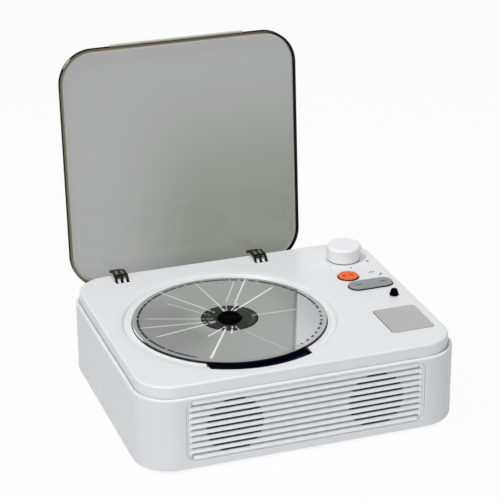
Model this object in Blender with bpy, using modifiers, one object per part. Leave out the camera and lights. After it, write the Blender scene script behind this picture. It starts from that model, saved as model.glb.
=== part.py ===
"""Portable disc player: a white case with a smoked lid that stands open, a disc on its
turntable, the controls on the deck, the ribbed speaker grille, and the works inside.

Frame: metres, +Z up, +X to the player's right, -Y to its front. The origin is on the
surface that the feet stand on, under the middle of the case. The lid stands open."""

import math

import bmesh
import bpy
from mathutils import Matrix, Vector

MM = 0.001
AXES = {
    "X": Matrix.Rotation(math.pi / 2, 4, "Y"),
    "Y": Matrix.Rotation(-math.pi / 2, 4, "X"),
    "Z": Matrix.Identity(4),
}

# What touches keeps this gap, and a cut runs past the wall that it opens by this much
GAP = 0.3 * MM
OVERRUN = 1.0 * MM
MERGE = 0.005 * MM
CORNER_STEPS = 5
EDGE_STEPS = 2
ROUND_STEPS = 16
HUB_STEPS = 24
WIDE_ROUND_STEPS = 48
SMALL_ROUND_STEPS = 8
DOME_STEPS = 3
BEND_STEPS = 4
SHARP_ANGLE = math.radians(35)

# The case
CASE_WIDTH = 202.4 * MM
CASE_DEPTH = 167.2 * MM
DECK_HEIGHT = 55.7 * MM
RIM_DROP = 7.5 * MM
CASE_CORNER = 23.8 * MM
FOOT_PROUD = 1.5 * MM
SHELL_WALL = 2.3 * MM
SHELL_FLOOR = 2.0 * MM
BOTTOM_ROUND = 1.6 * MM
RIM_ROUND = 0.9 * MM
DECK_PLATE = 2.0 * MM
SKIRT_WALL = 2.0 * MM
SKIRT_LAP = 2.0 * MM
DECK_ROUND = 1.8 * MM

# The disc, the dish that it lies in and the tray under it
DISC_FROM_LEFT = 79.8 * MM
DISC_FROM_FRONT = 78.2 * MM
DISC_RADIUS = 60.0 * MM
DISC_HOLE = 7.5 * MM
DISC_THICK = 1.2 * MM
WELL_PLAY = 0.4 * MM
DISH_LEDGE = 0.8 * MM
DISH_SLOPE = 4.0 * MM
DISH_DEPTH = 2.4 * MM
DISH_WALL = 2.6 * MM
RELIEF_HALF_WIDTH = 32.0 * MM
RELIEF_REACH = 3.4 * MM
TRAY_LAP = 5.8 * MM
TRAY_PLATE = 2.0 * MM

# The turntable
HUB_PLATFORM_RADIUS = 17.0 * MM
HUB_PLATFORM_THICK = 1.2 * MM
HUB_BOSS_PLAY = 0.4 * MM
HUB_PROUD = 0.8 * MM
HUB_CHAMFER = 1.3 * MM
HUB_STEM_RADIUS = 4.0 * MM
MAT_THICK = 0.5 * MM
MAT_INSET = 1.5 * MM
MAT_HOLE_PLAY = 1.9 * MM
MOTOR_RADIUS = 10.5 * MM
MOTOR_HEIGHT = 8.0 * MM
MOTOR_SHAFT_RADIUS = 1.0 * MM
MOTOR_CHAMFER = 1.0 * MM
HUB_HOLE_PLAY = 1.0 * MM

# The chassis of the works, with the sled and its rails
WORKS_DEPTH = 11.0 * MM
CHASSIS_PLATE = 2.0 * MM
CHASSIS_MARGIN = 9.0 * MM
CHASSIS_FRONT = 17.0 * MM
CHASSIS_BACK_MARGIN = 5.0 * MM
CHASSIS_HOLE_WIDTH = 26.0 * MM
CHASSIS_WING = 22.0 * MM
CHASSIS_WING_DEPTH = 40.0 * MM
CHASSIS_OPENING_END = 5.0 * MM
RAIL_SPACING = 36.0 * MM
RAIL_RADIUS = 1.5 * MM
RAIL_RISE = 5.6 * MM
RAIL_BORE_PLAY = 0.3 * MM
RAIL_START = 10.5 * MM
RAIL_POST_DEPTH = 4.0 * MM
RAIL_POST_WIDTH = 4.2 * MM
SLED_MARGIN = 3.0 * MM
SLED_DEPTH = 24.0 * MM
SLED_RISE = 2.4 * MM
SLED_THICK = 6.4 * MM
SLED_FRONT_PLAY = 0.3 * MM
SLED_BACK_PLAY = 0.7 * MM
LENS_FROM_FRONT = 9.4 * MM
LENS_RADIUS = 3.2 * MM
LENS_PROUD = 1.2 * MM
LENS_DOME = 0.8 * MM
LENS_EDGE_SHARE = 0.25
LENS_SLOT_PLAY = 0.8 * MM
SLED_TRAVEL = 32.0 * MM

# The gears: the rack and the small gear share one module, the large gear and the pinion another
RACK_MODULE = 0.8 * MM
RACK_SPARE = 7.0 * MM
RACK_TEETH_AHEAD = 2
SMALL_GEAR_TEETH = 12
DRIVE_MODULE = 0.6 * MM
LARGE_GEAR_TEETH = 30
PINION_TEETH = 10
ADDENDUM_SHARE = 0.7
DEDENDUM_SHARE = 1.05
BACKLASH_SHARE = 0.16
PRESSURE_ANGLE = math.radians(20)
RACK_STANDOFF = 1.6 * MM
RACK_BAR = 1.3 * MM
RACK_LOW_INSET = 1.2 * MM
RACK_HIGH_INSET = 1.4 * MM
GEAR_AHEAD = 1.2 * MM
GEAR_LIFT = 0.4 * MM
LARGE_GEAR_THICK = 1.4 * MM
SMALL_GEAR_PROUD = 0.6 * MM
STUD_RADIUS = 1.2 * MM
STUD_PLAY = 0.3 * MM
PINION_SHAFT_RADIUS = 0.9 * MM
PINION_PROUD = 1.0 * MM
SLED_MOTOR_RADIUS = 7.0 * MM
SLED_MOTOR_HEIGHT = 10.0 * MM

# The dampers that carry the chassis under the tray
DAMPER_SIDE_INSET = 5.0 * MM
DAMPER_FRONT_INSET = 6.0 * MM
DAMPER_BACK_INSET = 4.1 * MM
DAMPER_RADIUS = 4.0 * MM
DAMPER_BORE = 2.3 * MM
DAMPER_HEIGHT = 4.0 * MM
DAMPER_PEG_RADIUS = 2.0 * MM
DAMPER_SCREW_RADIUS = 0.8 * MM
DAMPER_PILOT_RADIUS = 1.1 * MM
DAMPER_WASHER_RADIUS = 3.6 * MM
DAMPER_WASHER_THICK = 1.2 * MM

# The lid and its hinges
LID_LEFT_MARGIN = 3.7 * MM
LID_RIGHT_MARGIN = 41.5 * MM
LID_FRONT_MARGIN = 3.3 * MM
LID_THICK = 5.2 * MM
LID_PANEL = 1.7 * MM
LID_RIM = 1.5 * MM
LID_CORNER = 22.0 * MM
LID_EDGE_ROUND = 0.8 * MM
LID_LEAN = math.radians(3.9)
LID_GRIP_WIDTH = 88.0 * MM
LID_GRIP_PROUD = 1.2 * MM
LID_GRIP_THICK = 2.6 * MM
LID_TAIL = 1.0 * MM
HINGE_FROM_BACK = 6.8 * MM
HINGE_DROP = 8.1 * MM
LID_CLEAR = 1.23 * MM
HINGE_FROM_LEFT = 29.0 * MM
HINGE_FROM_RIGHT = 33.7 * MM
HINGE_WIDTH = 9.8 * MM
ARM_HALF = 0.7 * MM
ARM_PRONG = 1.7 * MM
ARM_PRONGS = 3
ARM_OVER_DECK = 1.2 * MM
ARM_BEND_Y = 3.6 * MM
ARM_BEND = 5.0 * MM
ARM_HEEL_BEND = 3.5 * MM
ARM_HEEL_DROP = 0.7 * MM
ARM_BAR = 1.8 * MM
ARM_BAR_Y = 4.2 * MM
ARM_PAD_HEIGHT = 4.0 * MM
ARM_PAD_THICK = 1.3 * MM
ARM_BARREL = 2.1 * MM
HINGE_PIN_RADIUS = 1.0 * MM
HINGE_PIN_PLAY = 0.25 * MM
POCKET_SIDE_PLAY = 0.5 * MM
POCKET_WALL = 1.6 * MM
POCKET_FRONT = 12.0 * MM
POCKET_BACK = 2.45 * MM
POCKET_DROP = 12.1 * MM
SLOT_FRONT = 10.9 * MM
SLOT_BACK = 1.7 * MM

# The controls on the deck
KNOB_FROM_RIGHT = 23.2 * MM
KNOB_FROM_BACK = 29.6 * MM
KNOB_BASE_RADIUS = 11.3 * MM
KNOB_TOP_RADIUS = 10.2 * MM
KNOB_HEIGHT = 9.8 * MM
KNOB_ROUND = 0.9 * MM
KNOB_ROUND_STEPS = 2
KNOB_STEM_RADIUS = 3.0 * MM
KNOB_STEM_DEPTH = 6.0 * MM
POT_SIDE = 16.0 * MM
POT_NECK_RADIUS = 4.6 * MM
POT_NECK = 1.4 * MM
PLAY_FROM_RIGHT = 30.9 * MM
PLAY_FROM_BACK = 57.0 * MM
PLAY_RADIUS = 6.75 * MM
PLAY_PROUD = 1.2 * MM
PLAY_FLANGE = 1.2 * MM
PLAY_TRAVEL = 0.8 * MM
ROCKER_FROM_RIGHT = 22.2 * MM
ROCKER_FROM_BACK = 73.3 * MM
ROCKER_LENGTH = 29.5 * MM
ROCKER_WIDTH = 12.0 * MM
ROCKER_PROUD = 1.4 * MM
ROCKER_TILT = math.radians(2.5)
ROCKER_PRESS = 8.5 * MM
BUTTON_PLAY = 0.45 * MM
BUTTON_ROUND = 0.4 * MM
EYE_FROM_RIGHT = 14.3 * MM
EYE_FROM_BACK = 92.6 * MM
EYE_FLANGE_RADIUS = 3.0 * MM
EYE_FLANGE_THICK = 0.6 * MM
EYE_RADIUS = 2.35 * MM
EYE_HEIGHT = 4.2 * MM
EYE_STEM_RADIUS = 1.9 * MM
BADGE_FROM_RIGHT = 8.8 * MM
BADGE_FROM_FRONT = 24.6 * MM
BADGE_WIDTH = 27.8 * MM
BADGE_DEPTH = 32.6 * MM
BADGE_CORNER = 1.6 * MM
BADGE_THICK = 0.6 * MM
BADGE_RECESS = 0.6 * MM

# The grille, its slots and the speakers
GRILLE_FROM_LEFT = 26.7 * MM
GRILLE_FROM_RIGHT = 25.5 * MM
GRILLE_FROM_BOTTOM = 5.0 * MM
GRILLE_FROM_RIM = 1.8 * MM
GRILLE_CORNER = 5.6 * MM
GRILLE_SET_BACK = 0.2 * MM
GRILLE_PLATE = 1.1 * MM
GRILLE_SIDE_BORDER = 1.4 * MM
RIB_COUNT = 10
RIB_HEIGHT = 1.0 * MM
RIB_STEPS = 4
GRILLE_TAB_WIDTH = 2.6 * MM
GRILLE_TAB_INSET = 7.95 * MM
GRILLE_TAB_THICK = 1.2 * MM
GRILLE_NECK_INSET = 1.0 * MM
SLOT_HEIGHT = 0.9 * MM
SLOT_INSET = 1.65 * MM
SPEAKER_FROM_LEFT = 30.05 * MM
SPEAKER_FROM_RIGHT = 31.25 * MM
SPEAKER_DROP = 0.7 * MM
BASKET_INSET = 0.45 * MM
BASKET_FLANGE = 1.2 * MM
BASKET_WALL = 1.0 * MM
BASKET_DEPTH = 10.2 * MM
BASKET_TAPER = 8.5 * MM
BASKET_LIP = 2.0 * MM
BASKET_HOLE = 3.0 * MM
CONE_DEPTH = 5.6 * MM
CONE_THICK = 0.7 * MM
CONE_NECK_INSET = 5.0 * MM
CONE_SET_BACK = 0.8 * MM
MAGNET_INSET = 0.6 * MM
MAGNET_DEPTH = 7.0 * MM

# The boards, the battery and the sockets
CONTROL_FROM_RIGHT = 5.7 * MM
CONTROL_FROM_BACK = 20.2 * MM
CONTROL_WIDTH = 34.0 * MM
CONTROL_DEPTH = 79.4 * MM
CONTROL_DROP = 9.1 * MM
BOARD_THICK = 1.6 * MM
PEG_LEFT_INSET = 3.5 * MM
PEG_RIGHT_INSET = 2.5 * MM
PEG_FRONT_INSET = 14.0 * MM
PEG_RIGHT_BACK_INSET = 25.4 * MM
PEG_LEFT_BACK_INSET = 23.4 * MM
PEG_RADIUS = 2.4 * MM
PEG_TIP_RADIUS = 1.1 * MM
PEG_TIP = 3.0 * MM
SWITCH_SIDE = 6.0 * MM
SWITCH_BODY = 3.4 * MM
SWITCH_STEM_RADIUS = 1.7 * MM
MAIN_FROM_RIGHT = 23.2 * MM
MAIN_FROM_BACK = 6.6 * MM
MAIN_WIDTH = 70.0 * MM
MAIN_DEPTH = 115.0 * MM
MAIN_POST_HEIGHT = 4.2 * MM
MAIN_POST_RADIUS = 2.6 * MM
MAIN_POST_INSET = 5.0 * MM
USB_FROM_EDGE = 44.0 * MM
USB_WIDTH = 9.0 * MM
USB_DEPTH = 8.0 * MM
USB_HEIGHT = 3.3 * MM
USB_WALL = 0.4 * MM
USB_MOUTH_DEPTH = 6.0 * MM
SOCKET_SET_BACK = 0.4 * MM
JACK_FROM_EDGE = 22.0 * MM
JACK_SIDE = 6.6 * MM
JACK_DEPTH = 12.0 * MM
JACK_BARREL_RADIUS = 2.9 * MM
JACK_BORE_RADIUS = 1.8 * MM
JACK_BORE_DEPTH = 13.0 * MM
BATTERY_WIDTH = 56.0 * MM
BATTERY_DEPTH = 60.0 * MM
BATTERY_HEIGHT = 9.0 * MM
BATTERY_FROM_LEFT = 39.2 * MM
BATTERY_Y = 2.0 * MM
BATTERY_ROUND = 2.0 * MM

# The feet, the posts and their screws
FOOT_FROM_SIDE = 27.2 * MM
FOOT_FROM_END = 25.6 * MM
FOOT_RADIUS = 6.0 * MM
FOOT_RECESS = 1.0 * MM
FOOT_ROUND = 0.4 * MM
POST_FROM_SIDE = 15.2 * MM
POST_FROM_END = 16.1 * MM
POST_RADIUS = 4.4 * MM
POST_DROP = 25.7 * MM
POST_WELL_RADIUS = 3.3 * MM
POST_HEAD_WALL = 10.0 * MM
POST_HOLE_RADIUS = 1.7 * MM
BOSS_RADIUS = 3.6 * MM
BOSS_PILOT_RADIUS = 1.45 * MM
SCREW_SHANK_RADIUS = 1.15 * MM
SCREW_HEAD_RADIUS = 2.7 * MM
SCREW_HEAD = 1.8 * MM
SCREW_GRIP = 9.0 * MM
PILOT_SPARE = 1.0 * MM

# The wires inside
WIRE_RADIUS = 0.6 * MM
WIRE_RISE = 4.0 * MM
WIRE_STEPS = 5

# Places that follow from the sizes above: the case and the well of the disc
LEFT = -CASE_WIDTH / 2
RIGHT = CASE_WIDTH / 2
SHELL_FRONT = -CASE_DEPTH / 2
SHELL_BACK = CASE_DEPTH / 2
RIM_HEIGHT = DECK_HEIGHT - RIM_DROP
DECK_INSET = SHELL_WALL + GAP
SKIRT_BOTTOM = RIM_HEIGHT - SKIRT_LAP
PLATE_BOTTOM = DECK_HEIGHT - DECK_PLATE
FLANGE_TOP = PLATE_BOTTOM - GAP
FLOOR_TOP = FOOT_PROUD + SHELL_FLOOR
DISC_X = LEFT + DISC_FROM_LEFT
DISC_Y = SHELL_FRONT + DISC_FROM_FRONT
WELL_RADIUS = DISC_RADIUS + WELL_PLAY
DISH_FLOOR_RADIUS = WELL_RADIUS + DISH_LEDGE
DISH_RADIUS = DISH_FLOOR_RADIUS + DISH_SLOPE
RELIEF_RADIUS = DISH_RADIUS + RELIEF_REACH
TRAY_RADIUS = DISH_RADIUS + TRAY_LAP
DISH_FLOOR = DECK_HEIGHT - DISH_DEPTH
DISH_BOTTOM = DISH_FLOOR - DECK_PLATE
TRAY_TOP = DISH_BOTTOM - GAP
TRAY_BOTTOM = TRAY_TOP - TRAY_PLATE

# The turntable and the works under the tray, measured from the disc's axis
DISC_BOTTOM = DECK_HEIGHT - DISC_THICK
MAT_BOTTOM = DISC_BOTTOM - GAP - MAT_THICK
PLATFORM_TOP = MAT_BOTTOM - GAP
PLATFORM_BOTTOM = PLATFORM_TOP - HUB_PLATFORM_THICK
HUB_BOSS_RADIUS = DISC_HOLE - HUB_BOSS_PLAY
MAT_HOLE = HUB_BOSS_RADIUS + MAT_HOLE_PLAY
MAT_RADIUS = HUB_PLATFORM_RADIUS - MAT_INSET
CHASSIS_TOP = TRAY_BOTTOM - WORKS_DEPTH
MOTOR_TOP = CHASSIS_TOP + GAP + MOTOR_HEIGHT
RAIL_HEIGHT = CHASSIS_TOP + RAIL_RISE
SLED_BOTTOM = CHASSIS_TOP + SLED_RISE
SLED_TOP = SLED_BOTTOM + SLED_THICK
SLED_WIDTH = RAIL_SPACING + 2 * SLED_MARGIN
CHASSIS_WIDTH = RAIL_SPACING + 2 * CHASSIS_MARGIN
SLED_START = RAIL_START + RAIL_POST_DEPTH + SLED_FRONT_PLAY
RAIL_END = SLED_START + SLED_DEPTH + SLED_TRAVEL + SLED_BACK_PLAY + RAIL_POST_DEPTH
CHASSIS_BACK = RAIL_END + CHASSIS_BACK_MARGIN
LENS_START = SLED_START + LENS_FROM_FRONT
LENS_TOP = TRAY_TOP + LENS_PROUD
DAMPER_PLACES = (
    (DAMPER_SIDE_INSET - CHASSIS_WIDTH / 2, DAMPER_FRONT_INSET - CHASSIS_FRONT),
    (CHASSIS_WIDTH / 2 - DAMPER_SIDE_INSET, DAMPER_FRONT_INSET - CHASSIS_FRONT),
    (0, CHASSIS_BACK - DAMPER_BACK_INSET),
)

# The gears
SMALL_GEAR_RADIUS = SMALL_GEAR_TEETH * RACK_MODULE / 2
LARGE_GEAR_RADIUS = LARGE_GEAR_TEETH * DRIVE_MODULE / 2
PINION_RADIUS = PINION_TEETH * DRIVE_MODULE / 2
RACK_STEP = math.pi * RACK_MODULE
RACK_TEETH = math.ceil((SLED_TRAVEL + RACK_SPARE) / RACK_STEP)
RACK_PITCH_X = SLED_WIDTH / 2 + RACK_STANDOFF
RACK_LOW = SLED_BOTTOM + RACK_LOW_INSET
RACK_HIGH = SLED_TOP - RACK_HIGH_INSET
GEAR_X = RACK_PITCH_X + SMALL_GEAR_RADIUS
GEAR_Y = SLED_START + SLED_DEPTH + GEAR_AHEAD
PINION_X = GEAR_X + LARGE_GEAR_RADIUS + PINION_RADIUS
LARGE_GEAR_LOW = CHASSIS_TOP + GEAR_LIFT
SMALL_GEAR_TOP = RACK_HIGH + SMALL_GEAR_PROUD

# The lid and its hinges
LID_WIDTH = CASE_WIDTH - LID_LEFT_MARGIN - LID_RIGHT_MARGIN
LID_X = LEFT + LID_LEFT_MARGIN + LID_WIDTH / 2
HINGE_Y = SHELL_BACK - HINGE_FROM_BACK
HINGE_Z = DECK_HEIGHT - HINGE_DROP
LID_LENGTH = HINGE_Y - SHELL_FRONT - LID_FRONT_MARGIN + LID_TAIL
LID_OFFSET = HINGE_DROP + LID_CLEAR
ARM_LIFT = HINGE_DROP + ARM_OVER_DECK
HINGE_PLACES = {
    "left": LID_X - LID_WIDTH / 2 + HINGE_FROM_LEFT,
    "right": LID_X + LID_WIDTH / 2 - HINGE_FROM_RIGHT,
}

# The controls
KNOB_X = RIGHT - KNOB_FROM_RIGHT
KNOB_Y = SHELL_BACK - KNOB_FROM_BACK
PLAY_X = RIGHT - PLAY_FROM_RIGHT
PLAY_Y = SHELL_BACK - PLAY_FROM_BACK
ROCKER_X = RIGHT - ROCKER_FROM_RIGHT
ROCKER_Y = SHELL_BACK - ROCKER_FROM_BACK
EYE_X = RIGHT - EYE_FROM_RIGHT
EYE_Y = SHELL_BACK - EYE_FROM_BACK
BADGE_RIGHT = RIGHT - BADGE_FROM_RIGHT
BADGE_LEFT = BADGE_RIGHT - BADGE_WIDTH
BADGE_FRONT = SHELL_FRONT + BADGE_FROM_FRONT
BADGE_BACK = BADGE_FRONT + BADGE_DEPTH

# The grille and the speakers
GRILLE_LEFT = LEFT + GRILLE_FROM_LEFT
GRILLE_RIGHT = RIGHT - GRILLE_FROM_RIGHT
GRILLE_LOW = FOOT_PROUD + GRILLE_FROM_BOTTOM
GRILLE_HIGH = RIM_HEIGHT - GRILLE_FROM_RIM
GRILLE_TAB_HEIGHT = GRILLE_HIGH - GRILLE_LOW - 2 * GRILLE_TAB_INSET
SPEAKER_PLACES = {
    "left": GRILLE_LEFT + SPEAKER_FROM_LEFT, "right": GRILLE_RIGHT - SPEAKER_FROM_RIGHT,
}
SPEAKER_Z = (GRILLE_LOW + GRILLE_HIGH) / 2 - SPEAKER_DROP
SPEAKER_FRONT = SHELL_FRONT + SHELL_WALL + GAP
BASKET_RADIUS = (GRILLE_HIGH - GRILLE_LOW) / 2 - BASKET_INSET
BASKET_BACK_RADIUS = BASKET_RADIUS - BASKET_TAPER
CONE_NECK = BASKET_BACK_RADIUS - CONE_NECK_INSET
MAGNET_RADIUS = BASKET_BACK_RADIUS - MAGNET_INSET
SLOT_CIRCLE = BASKET_RADIUS - SLOT_INSET

# The boards, the battery and the sockets
CONTROL_RIGHT = RIGHT - CONTROL_FROM_RIGHT
CONTROL_LEFT = CONTROL_RIGHT - CONTROL_WIDTH
CONTROL_BACK = SHELL_BACK - CONTROL_FROM_BACK
CONTROL_FRONT = CONTROL_BACK - CONTROL_DEPTH
CONTROL_TOP = DECK_HEIGHT - CONTROL_DROP
PEG_PLACES = (
    (CONTROL_LEFT + PEG_LEFT_INSET, CONTROL_FRONT + PEG_FRONT_INSET),
    (CONTROL_RIGHT - PEG_RIGHT_INSET, CONTROL_BACK - PEG_RIGHT_BACK_INSET),
    (CONTROL_LEFT + PEG_LEFT_INSET, CONTROL_BACK - PEG_LEFT_BACK_INSET),
)
MAIN_RIGHT = RIGHT - MAIN_FROM_RIGHT
MAIN_LEFT = MAIN_RIGHT - MAIN_WIDTH
MAIN_BACK = SHELL_BACK - MAIN_FROM_BACK
MAIN_FRONT = MAIN_BACK - MAIN_DEPTH
MAIN_BOTTOM = FLOOR_TOP + MAIN_POST_HEIGHT + GAP
MAIN_TOP = MAIN_BOTTOM + BOARD_THICK
USB_X = MAIN_RIGHT - USB_FROM_EDGE
JACK_X = MAIN_RIGHT - JACK_FROM_EDGE
BATTERY_X = LEFT + BATTERY_FROM_LEFT

# The feet, the posts and their screws
FOOT_X = RIGHT - FOOT_FROM_SIDE
FOOT_Y = SHELL_BACK - FOOT_FROM_END
POST_X = RIGHT - POST_FROM_SIDE
POST_Y = SHELL_BACK - POST_FROM_END
POST_TOP = DECK_HEIGHT - POST_DROP
POST_SHOULDER = POST_TOP - POST_HEAD_WALL

COLOURS = {
    "white": ((0.86, 0.87, 0.88), 0.38, 0.0),
    "navy": ((0.012, 0.016, 0.05), 0.12, 0.0),
    "smoked": ((0.30, 0.31, 0.28), 0.15, 0.0),
    "black": ((0.015, 0.015, 0.017), 0.25, 0.0),
    "rubber": ((0.03, 0.03, 0.03), 0.8, 0.0),
    "disc": ((0.6, 0.6, 0.6), 0.18, 0.9),
    "orange": ((0.9, 0.2, 0.06), 0.4, 0.0),
    "grey": ((0.36, 0.38, 0.4), 0.45, 0.0),
    "silver": ((0.62, 0.63, 0.64), 0.35, 0.8),
    "steel": ((0.5, 0.5, 0.52), 0.3, 1.0),
    "board": ((0.02, 0.18, 0.07), 0.5, 0.0),
    "nylon": ((0.8, 0.78, 0.7), 0.5, 0.0),
    "wrap": ((0.05, 0.15, 0.35), 0.4, 0.0),
    "paper": ((0.04, 0.04, 0.045), 0.9, 0.0),
    "wire": ((0.5, 0.03, 0.02), 0.5, 0.0),
}


def clear_scene():
    """Removes what the startup scene holds."""
    for obj in list(bpy.data.objects):
        bpy.data.objects.remove(obj, do_unlink=True)


def new_collection(name):
    """A collection linked to the scene."""
    collection = bpy.data.collections.new(name)
    bpy.context.scene.collection.children.link(collection)
    return collection


clear_scene()
PARTS = new_collection("portable_disc_player")
CUTTERS = new_collection("cutters")


def place(name, mesh, location, parent=None, tool=False):
    """An object of this mesh, among the parts or among the cutters and joined tools."""
    obj = bpy.data.objects.new(name, mesh)
    obj.location = location
    obj.parent = parent
    if tool:
        CUTTERS.objects.link(obj)
        obj.hide_render = True
        obj.display_type = "WIRE"
    else:
        PARTS.objects.link(obj)
    return obj


def finish(obj, colour):
    """Smooth round faces, and the piece's own material."""
    if obj.type == "MESH" and obj.data.polygons:
        obj.data.shade_smooth()
        obj.data.set_sharp_from_angle(angle=SHARP_ANGLE)
    base, roughness, metallic = COLOURS[colour]
    material = bpy.data.materials.new(obj.name)
    material.use_nodes = True
    shader = material.node_tree.nodes["Principled BSDF"]
    shader.inputs["Base Color"].default_value = (*base, 1.0)
    shader.inputs["Roughness"].default_value = roughness
    shader.inputs["Metallic"].default_value = metallic
    obj.data.materials.append(material)
    return obj


def mesh_of(name, shape):
    """A mesh from a filled bmesh."""
    mesh = bpy.data.meshes.new(name)
    shape.to_mesh(mesh)
    shape.free()
    return mesh


def span(low, high):
    """The size and the middle of a box between two corners."""
    low = Vector(low)
    high = Vector(high)
    return high - low, (low + high) / 2


def box(name, low, high, parent=None, tool=False):
    """A plain box between two corners."""
    size, middle = span(low, high)
    shape = bmesh.new()
    bmesh.ops.create_cube(shape, size=1, matrix=Matrix.Diagonal((*size, 1)))
    return place(name, mesh_of(name, shape), middle, parent, tool)


def boxes(name, corners):
    """Several boxes in one cutter."""
    shape = bmesh.new()
    for low, high in corners:
        size, middle = span(low, high)
        where = Matrix.Translation(middle) @ Matrix.Diagonal((*size, 1))
        bmesh.ops.create_cube(shape, size=1, matrix=where)
    return place(name, mesh_of(name, shape), (0, 0, 0), None, True)


def rounded_box(name, low, high, corner, top=0.0, bottom=0.0, up="Z", parent=None, tool=False):
    """A box with rounded upright corners, and rounded top or bottom edges if asked for."""
    size, middle = span(low, high)
    axis = "XYZ".index(up)
    shape = bmesh.new()
    bmesh.ops.create_cube(shape, size=1, matrix=Matrix.Diagonal((*size, 1)))
    upright = [e for e in shape.edges if abs((e.verts[0].co - e.verts[1].co)[axis]) > MERGE]
    bmesh.ops.bevel(
        shape, geom=upright, offset=corner, segments=CORNER_STEPS, profile=0.5, affect="EDGES"
    )
    for side, radius in ((1, top), (-1, bottom)):
        if radius <= 0:
            continue
        level = side * size[axis] / 2
        loop = [
            e for e in shape.edges if all(abs(v.co[axis] - level) < MERGE for v in e.verts)
        ]
        bmesh.ops.bevel(
            shape, geom=loop, offset=radius, segments=EDGE_STEPS, profile=0.5, affect="EDGES"
        )
    return place(name, mesh_of(name, shape), middle, parent, tool)


def rod(name, radius, low, high, at, up="Z", steps=ROUND_STEPS, end_radius=None,
        parent=None, tool=False):
    """A cylinder or cone along one axis, from low to high, through the point (a, b) across it."""
    shape = bmesh.new()
    depth = high - low
    bmesh.ops.create_cone(
        shape, cap_ends=True, segments=steps, radius1=radius,
        radius2=radius if end_radius is None else end_radius,
        depth=depth, matrix=AXES[up],
    )
    middle = (low + high) / 2
    a, b = at
    where = {"X": (middle, a, b), "Y": (a, middle, b), "Z": (a, b, middle)}[up]
    return place(name, mesh_of(name, shape), where, parent, tool)


def turned(name, profile, location, steps=ROUND_STEPS, closed=False, up="Z",
           parent=None, tool=False):
    """A turned piece: (radius, height) points down its outer side, turned round the axis."""
    shape = bmesh.new()
    verts = [shape.verts.new((radius, 0, height)) for radius, height in profile]
    for first, second in zip(verts, verts[1:]):
        shape.edges.new((first, second))
    if closed:
        shape.edges.new((verts[-1], verts[0]))
    obj = place(name, mesh_of(name, shape), location, parent, tool)
    obj.rotation_euler = AXES[up].to_euler()
    screw = obj.modifiers.new("turn", "SCREW")
    screw.steps = steps
    screw.render_steps = steps
    screw.use_merge_vertices = True
    screw.merge_threshold = MERGE
    screw.use_smooth_shade = True
    return obj


def plate(name, outline, low, high, up="Z", location=(0, 0, 0), parent=None, tool=False):
    """A flat outline given as 2D points, as thick as low to high along its axis."""
    data = bpy.data.curves.new(name, "CURVE")
    data.dimensions = "2D"
    data.fill_mode = "BOTH"
    data.extrude = (high - low) / 2
    line = data.splines.new("POLY")
    line.points.add(len(outline) - 1)
    for point, (a, b) in zip(line.points, outline):
        point.co = (a, b, 0, 1)
    line.use_cyclic_u = True
    turn = {"Z": Matrix.Identity(4), "X": YZ_TO_X}[up]
    shift = Matrix.Translation({"Z": (0, 0, (low + high) / 2), "X": ((low + high) / 2, 0, 0)}[up])
    guide = bpy.data.objects.new(name + "_outline", data)
    CUTTERS.objects.link(guide)
    mesh = welded_mesh(guide, shift @ turn)
    return place(name, mesh, location, parent, tool)


# Turns an outline drawn in (Y, Z) so that it stands across the X axis
YZ_TO_X = Matrix(((0, 0, 1, 0), (1, 0, 0, 0), (0, 1, 0, 0), (0, 0, 0, 1)))


def welded_mesh(guide, matrix):
    """The curve's mesh with its caps welded, moved by a matrix; the curve is removed."""
    bpy.context.view_layer.update()
    graph = bpy.context.evaluated_depsgraph_get()
    mesh = bpy.data.meshes.new_from_object(guide.evaluated_get(graph))
    shape = bmesh.new()
    shape.from_mesh(mesh)
    bmesh.ops.remove_doubles(shape, verts=shape.verts, dist=MERGE)
    bmesh.ops.transform(shape, matrix=matrix, verts=shape.verts)
    bmesh.ops.recalc_face_normals(shape, faces=shape.faces)
    shape.to_mesh(mesh)
    shape.free()
    bpy.data.objects.remove(guide, do_unlink=True)
    return mesh


def apply_boolean(obj, other, operation):
    """One Boolean with a cutter or a joined tool."""
    change = obj.modifiers.new(other.name, "BOOLEAN")
    change.operation = operation
    change.solver = "EXACT"
    change.object = other


def cut(obj, *others):
    """Cuts these tools out of the piece."""
    for other in others:
        apply_boolean(obj, other, "DIFFERENCE")


def join(obj, *others):
    """Joins these tools to the piece."""
    for other in others:
        apply_boolean(obj, other, "UNION")


def keep(obj, other):
    """Keeps only what lies inside this tool."""
    apply_boolean(obj, other, "INTERSECT")


def arc(middle, radius, start, end, steps):
    """Points along an arc of a circle in a plane, from one angle to another."""
    return [
        (
            middle[0] + radius * math.cos(start + (end - start) * i / steps),
            middle[1] + radius * math.sin(start + (end - start) * i / steps),
        )
        for i in range(steps + 1)
    ]


def corners_of(x, y):
    """The four places at plus and minus these distances."""
    return [(sx * x, sy * y) for sy in (-1, 1) for sx in (-1, 1)]


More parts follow.
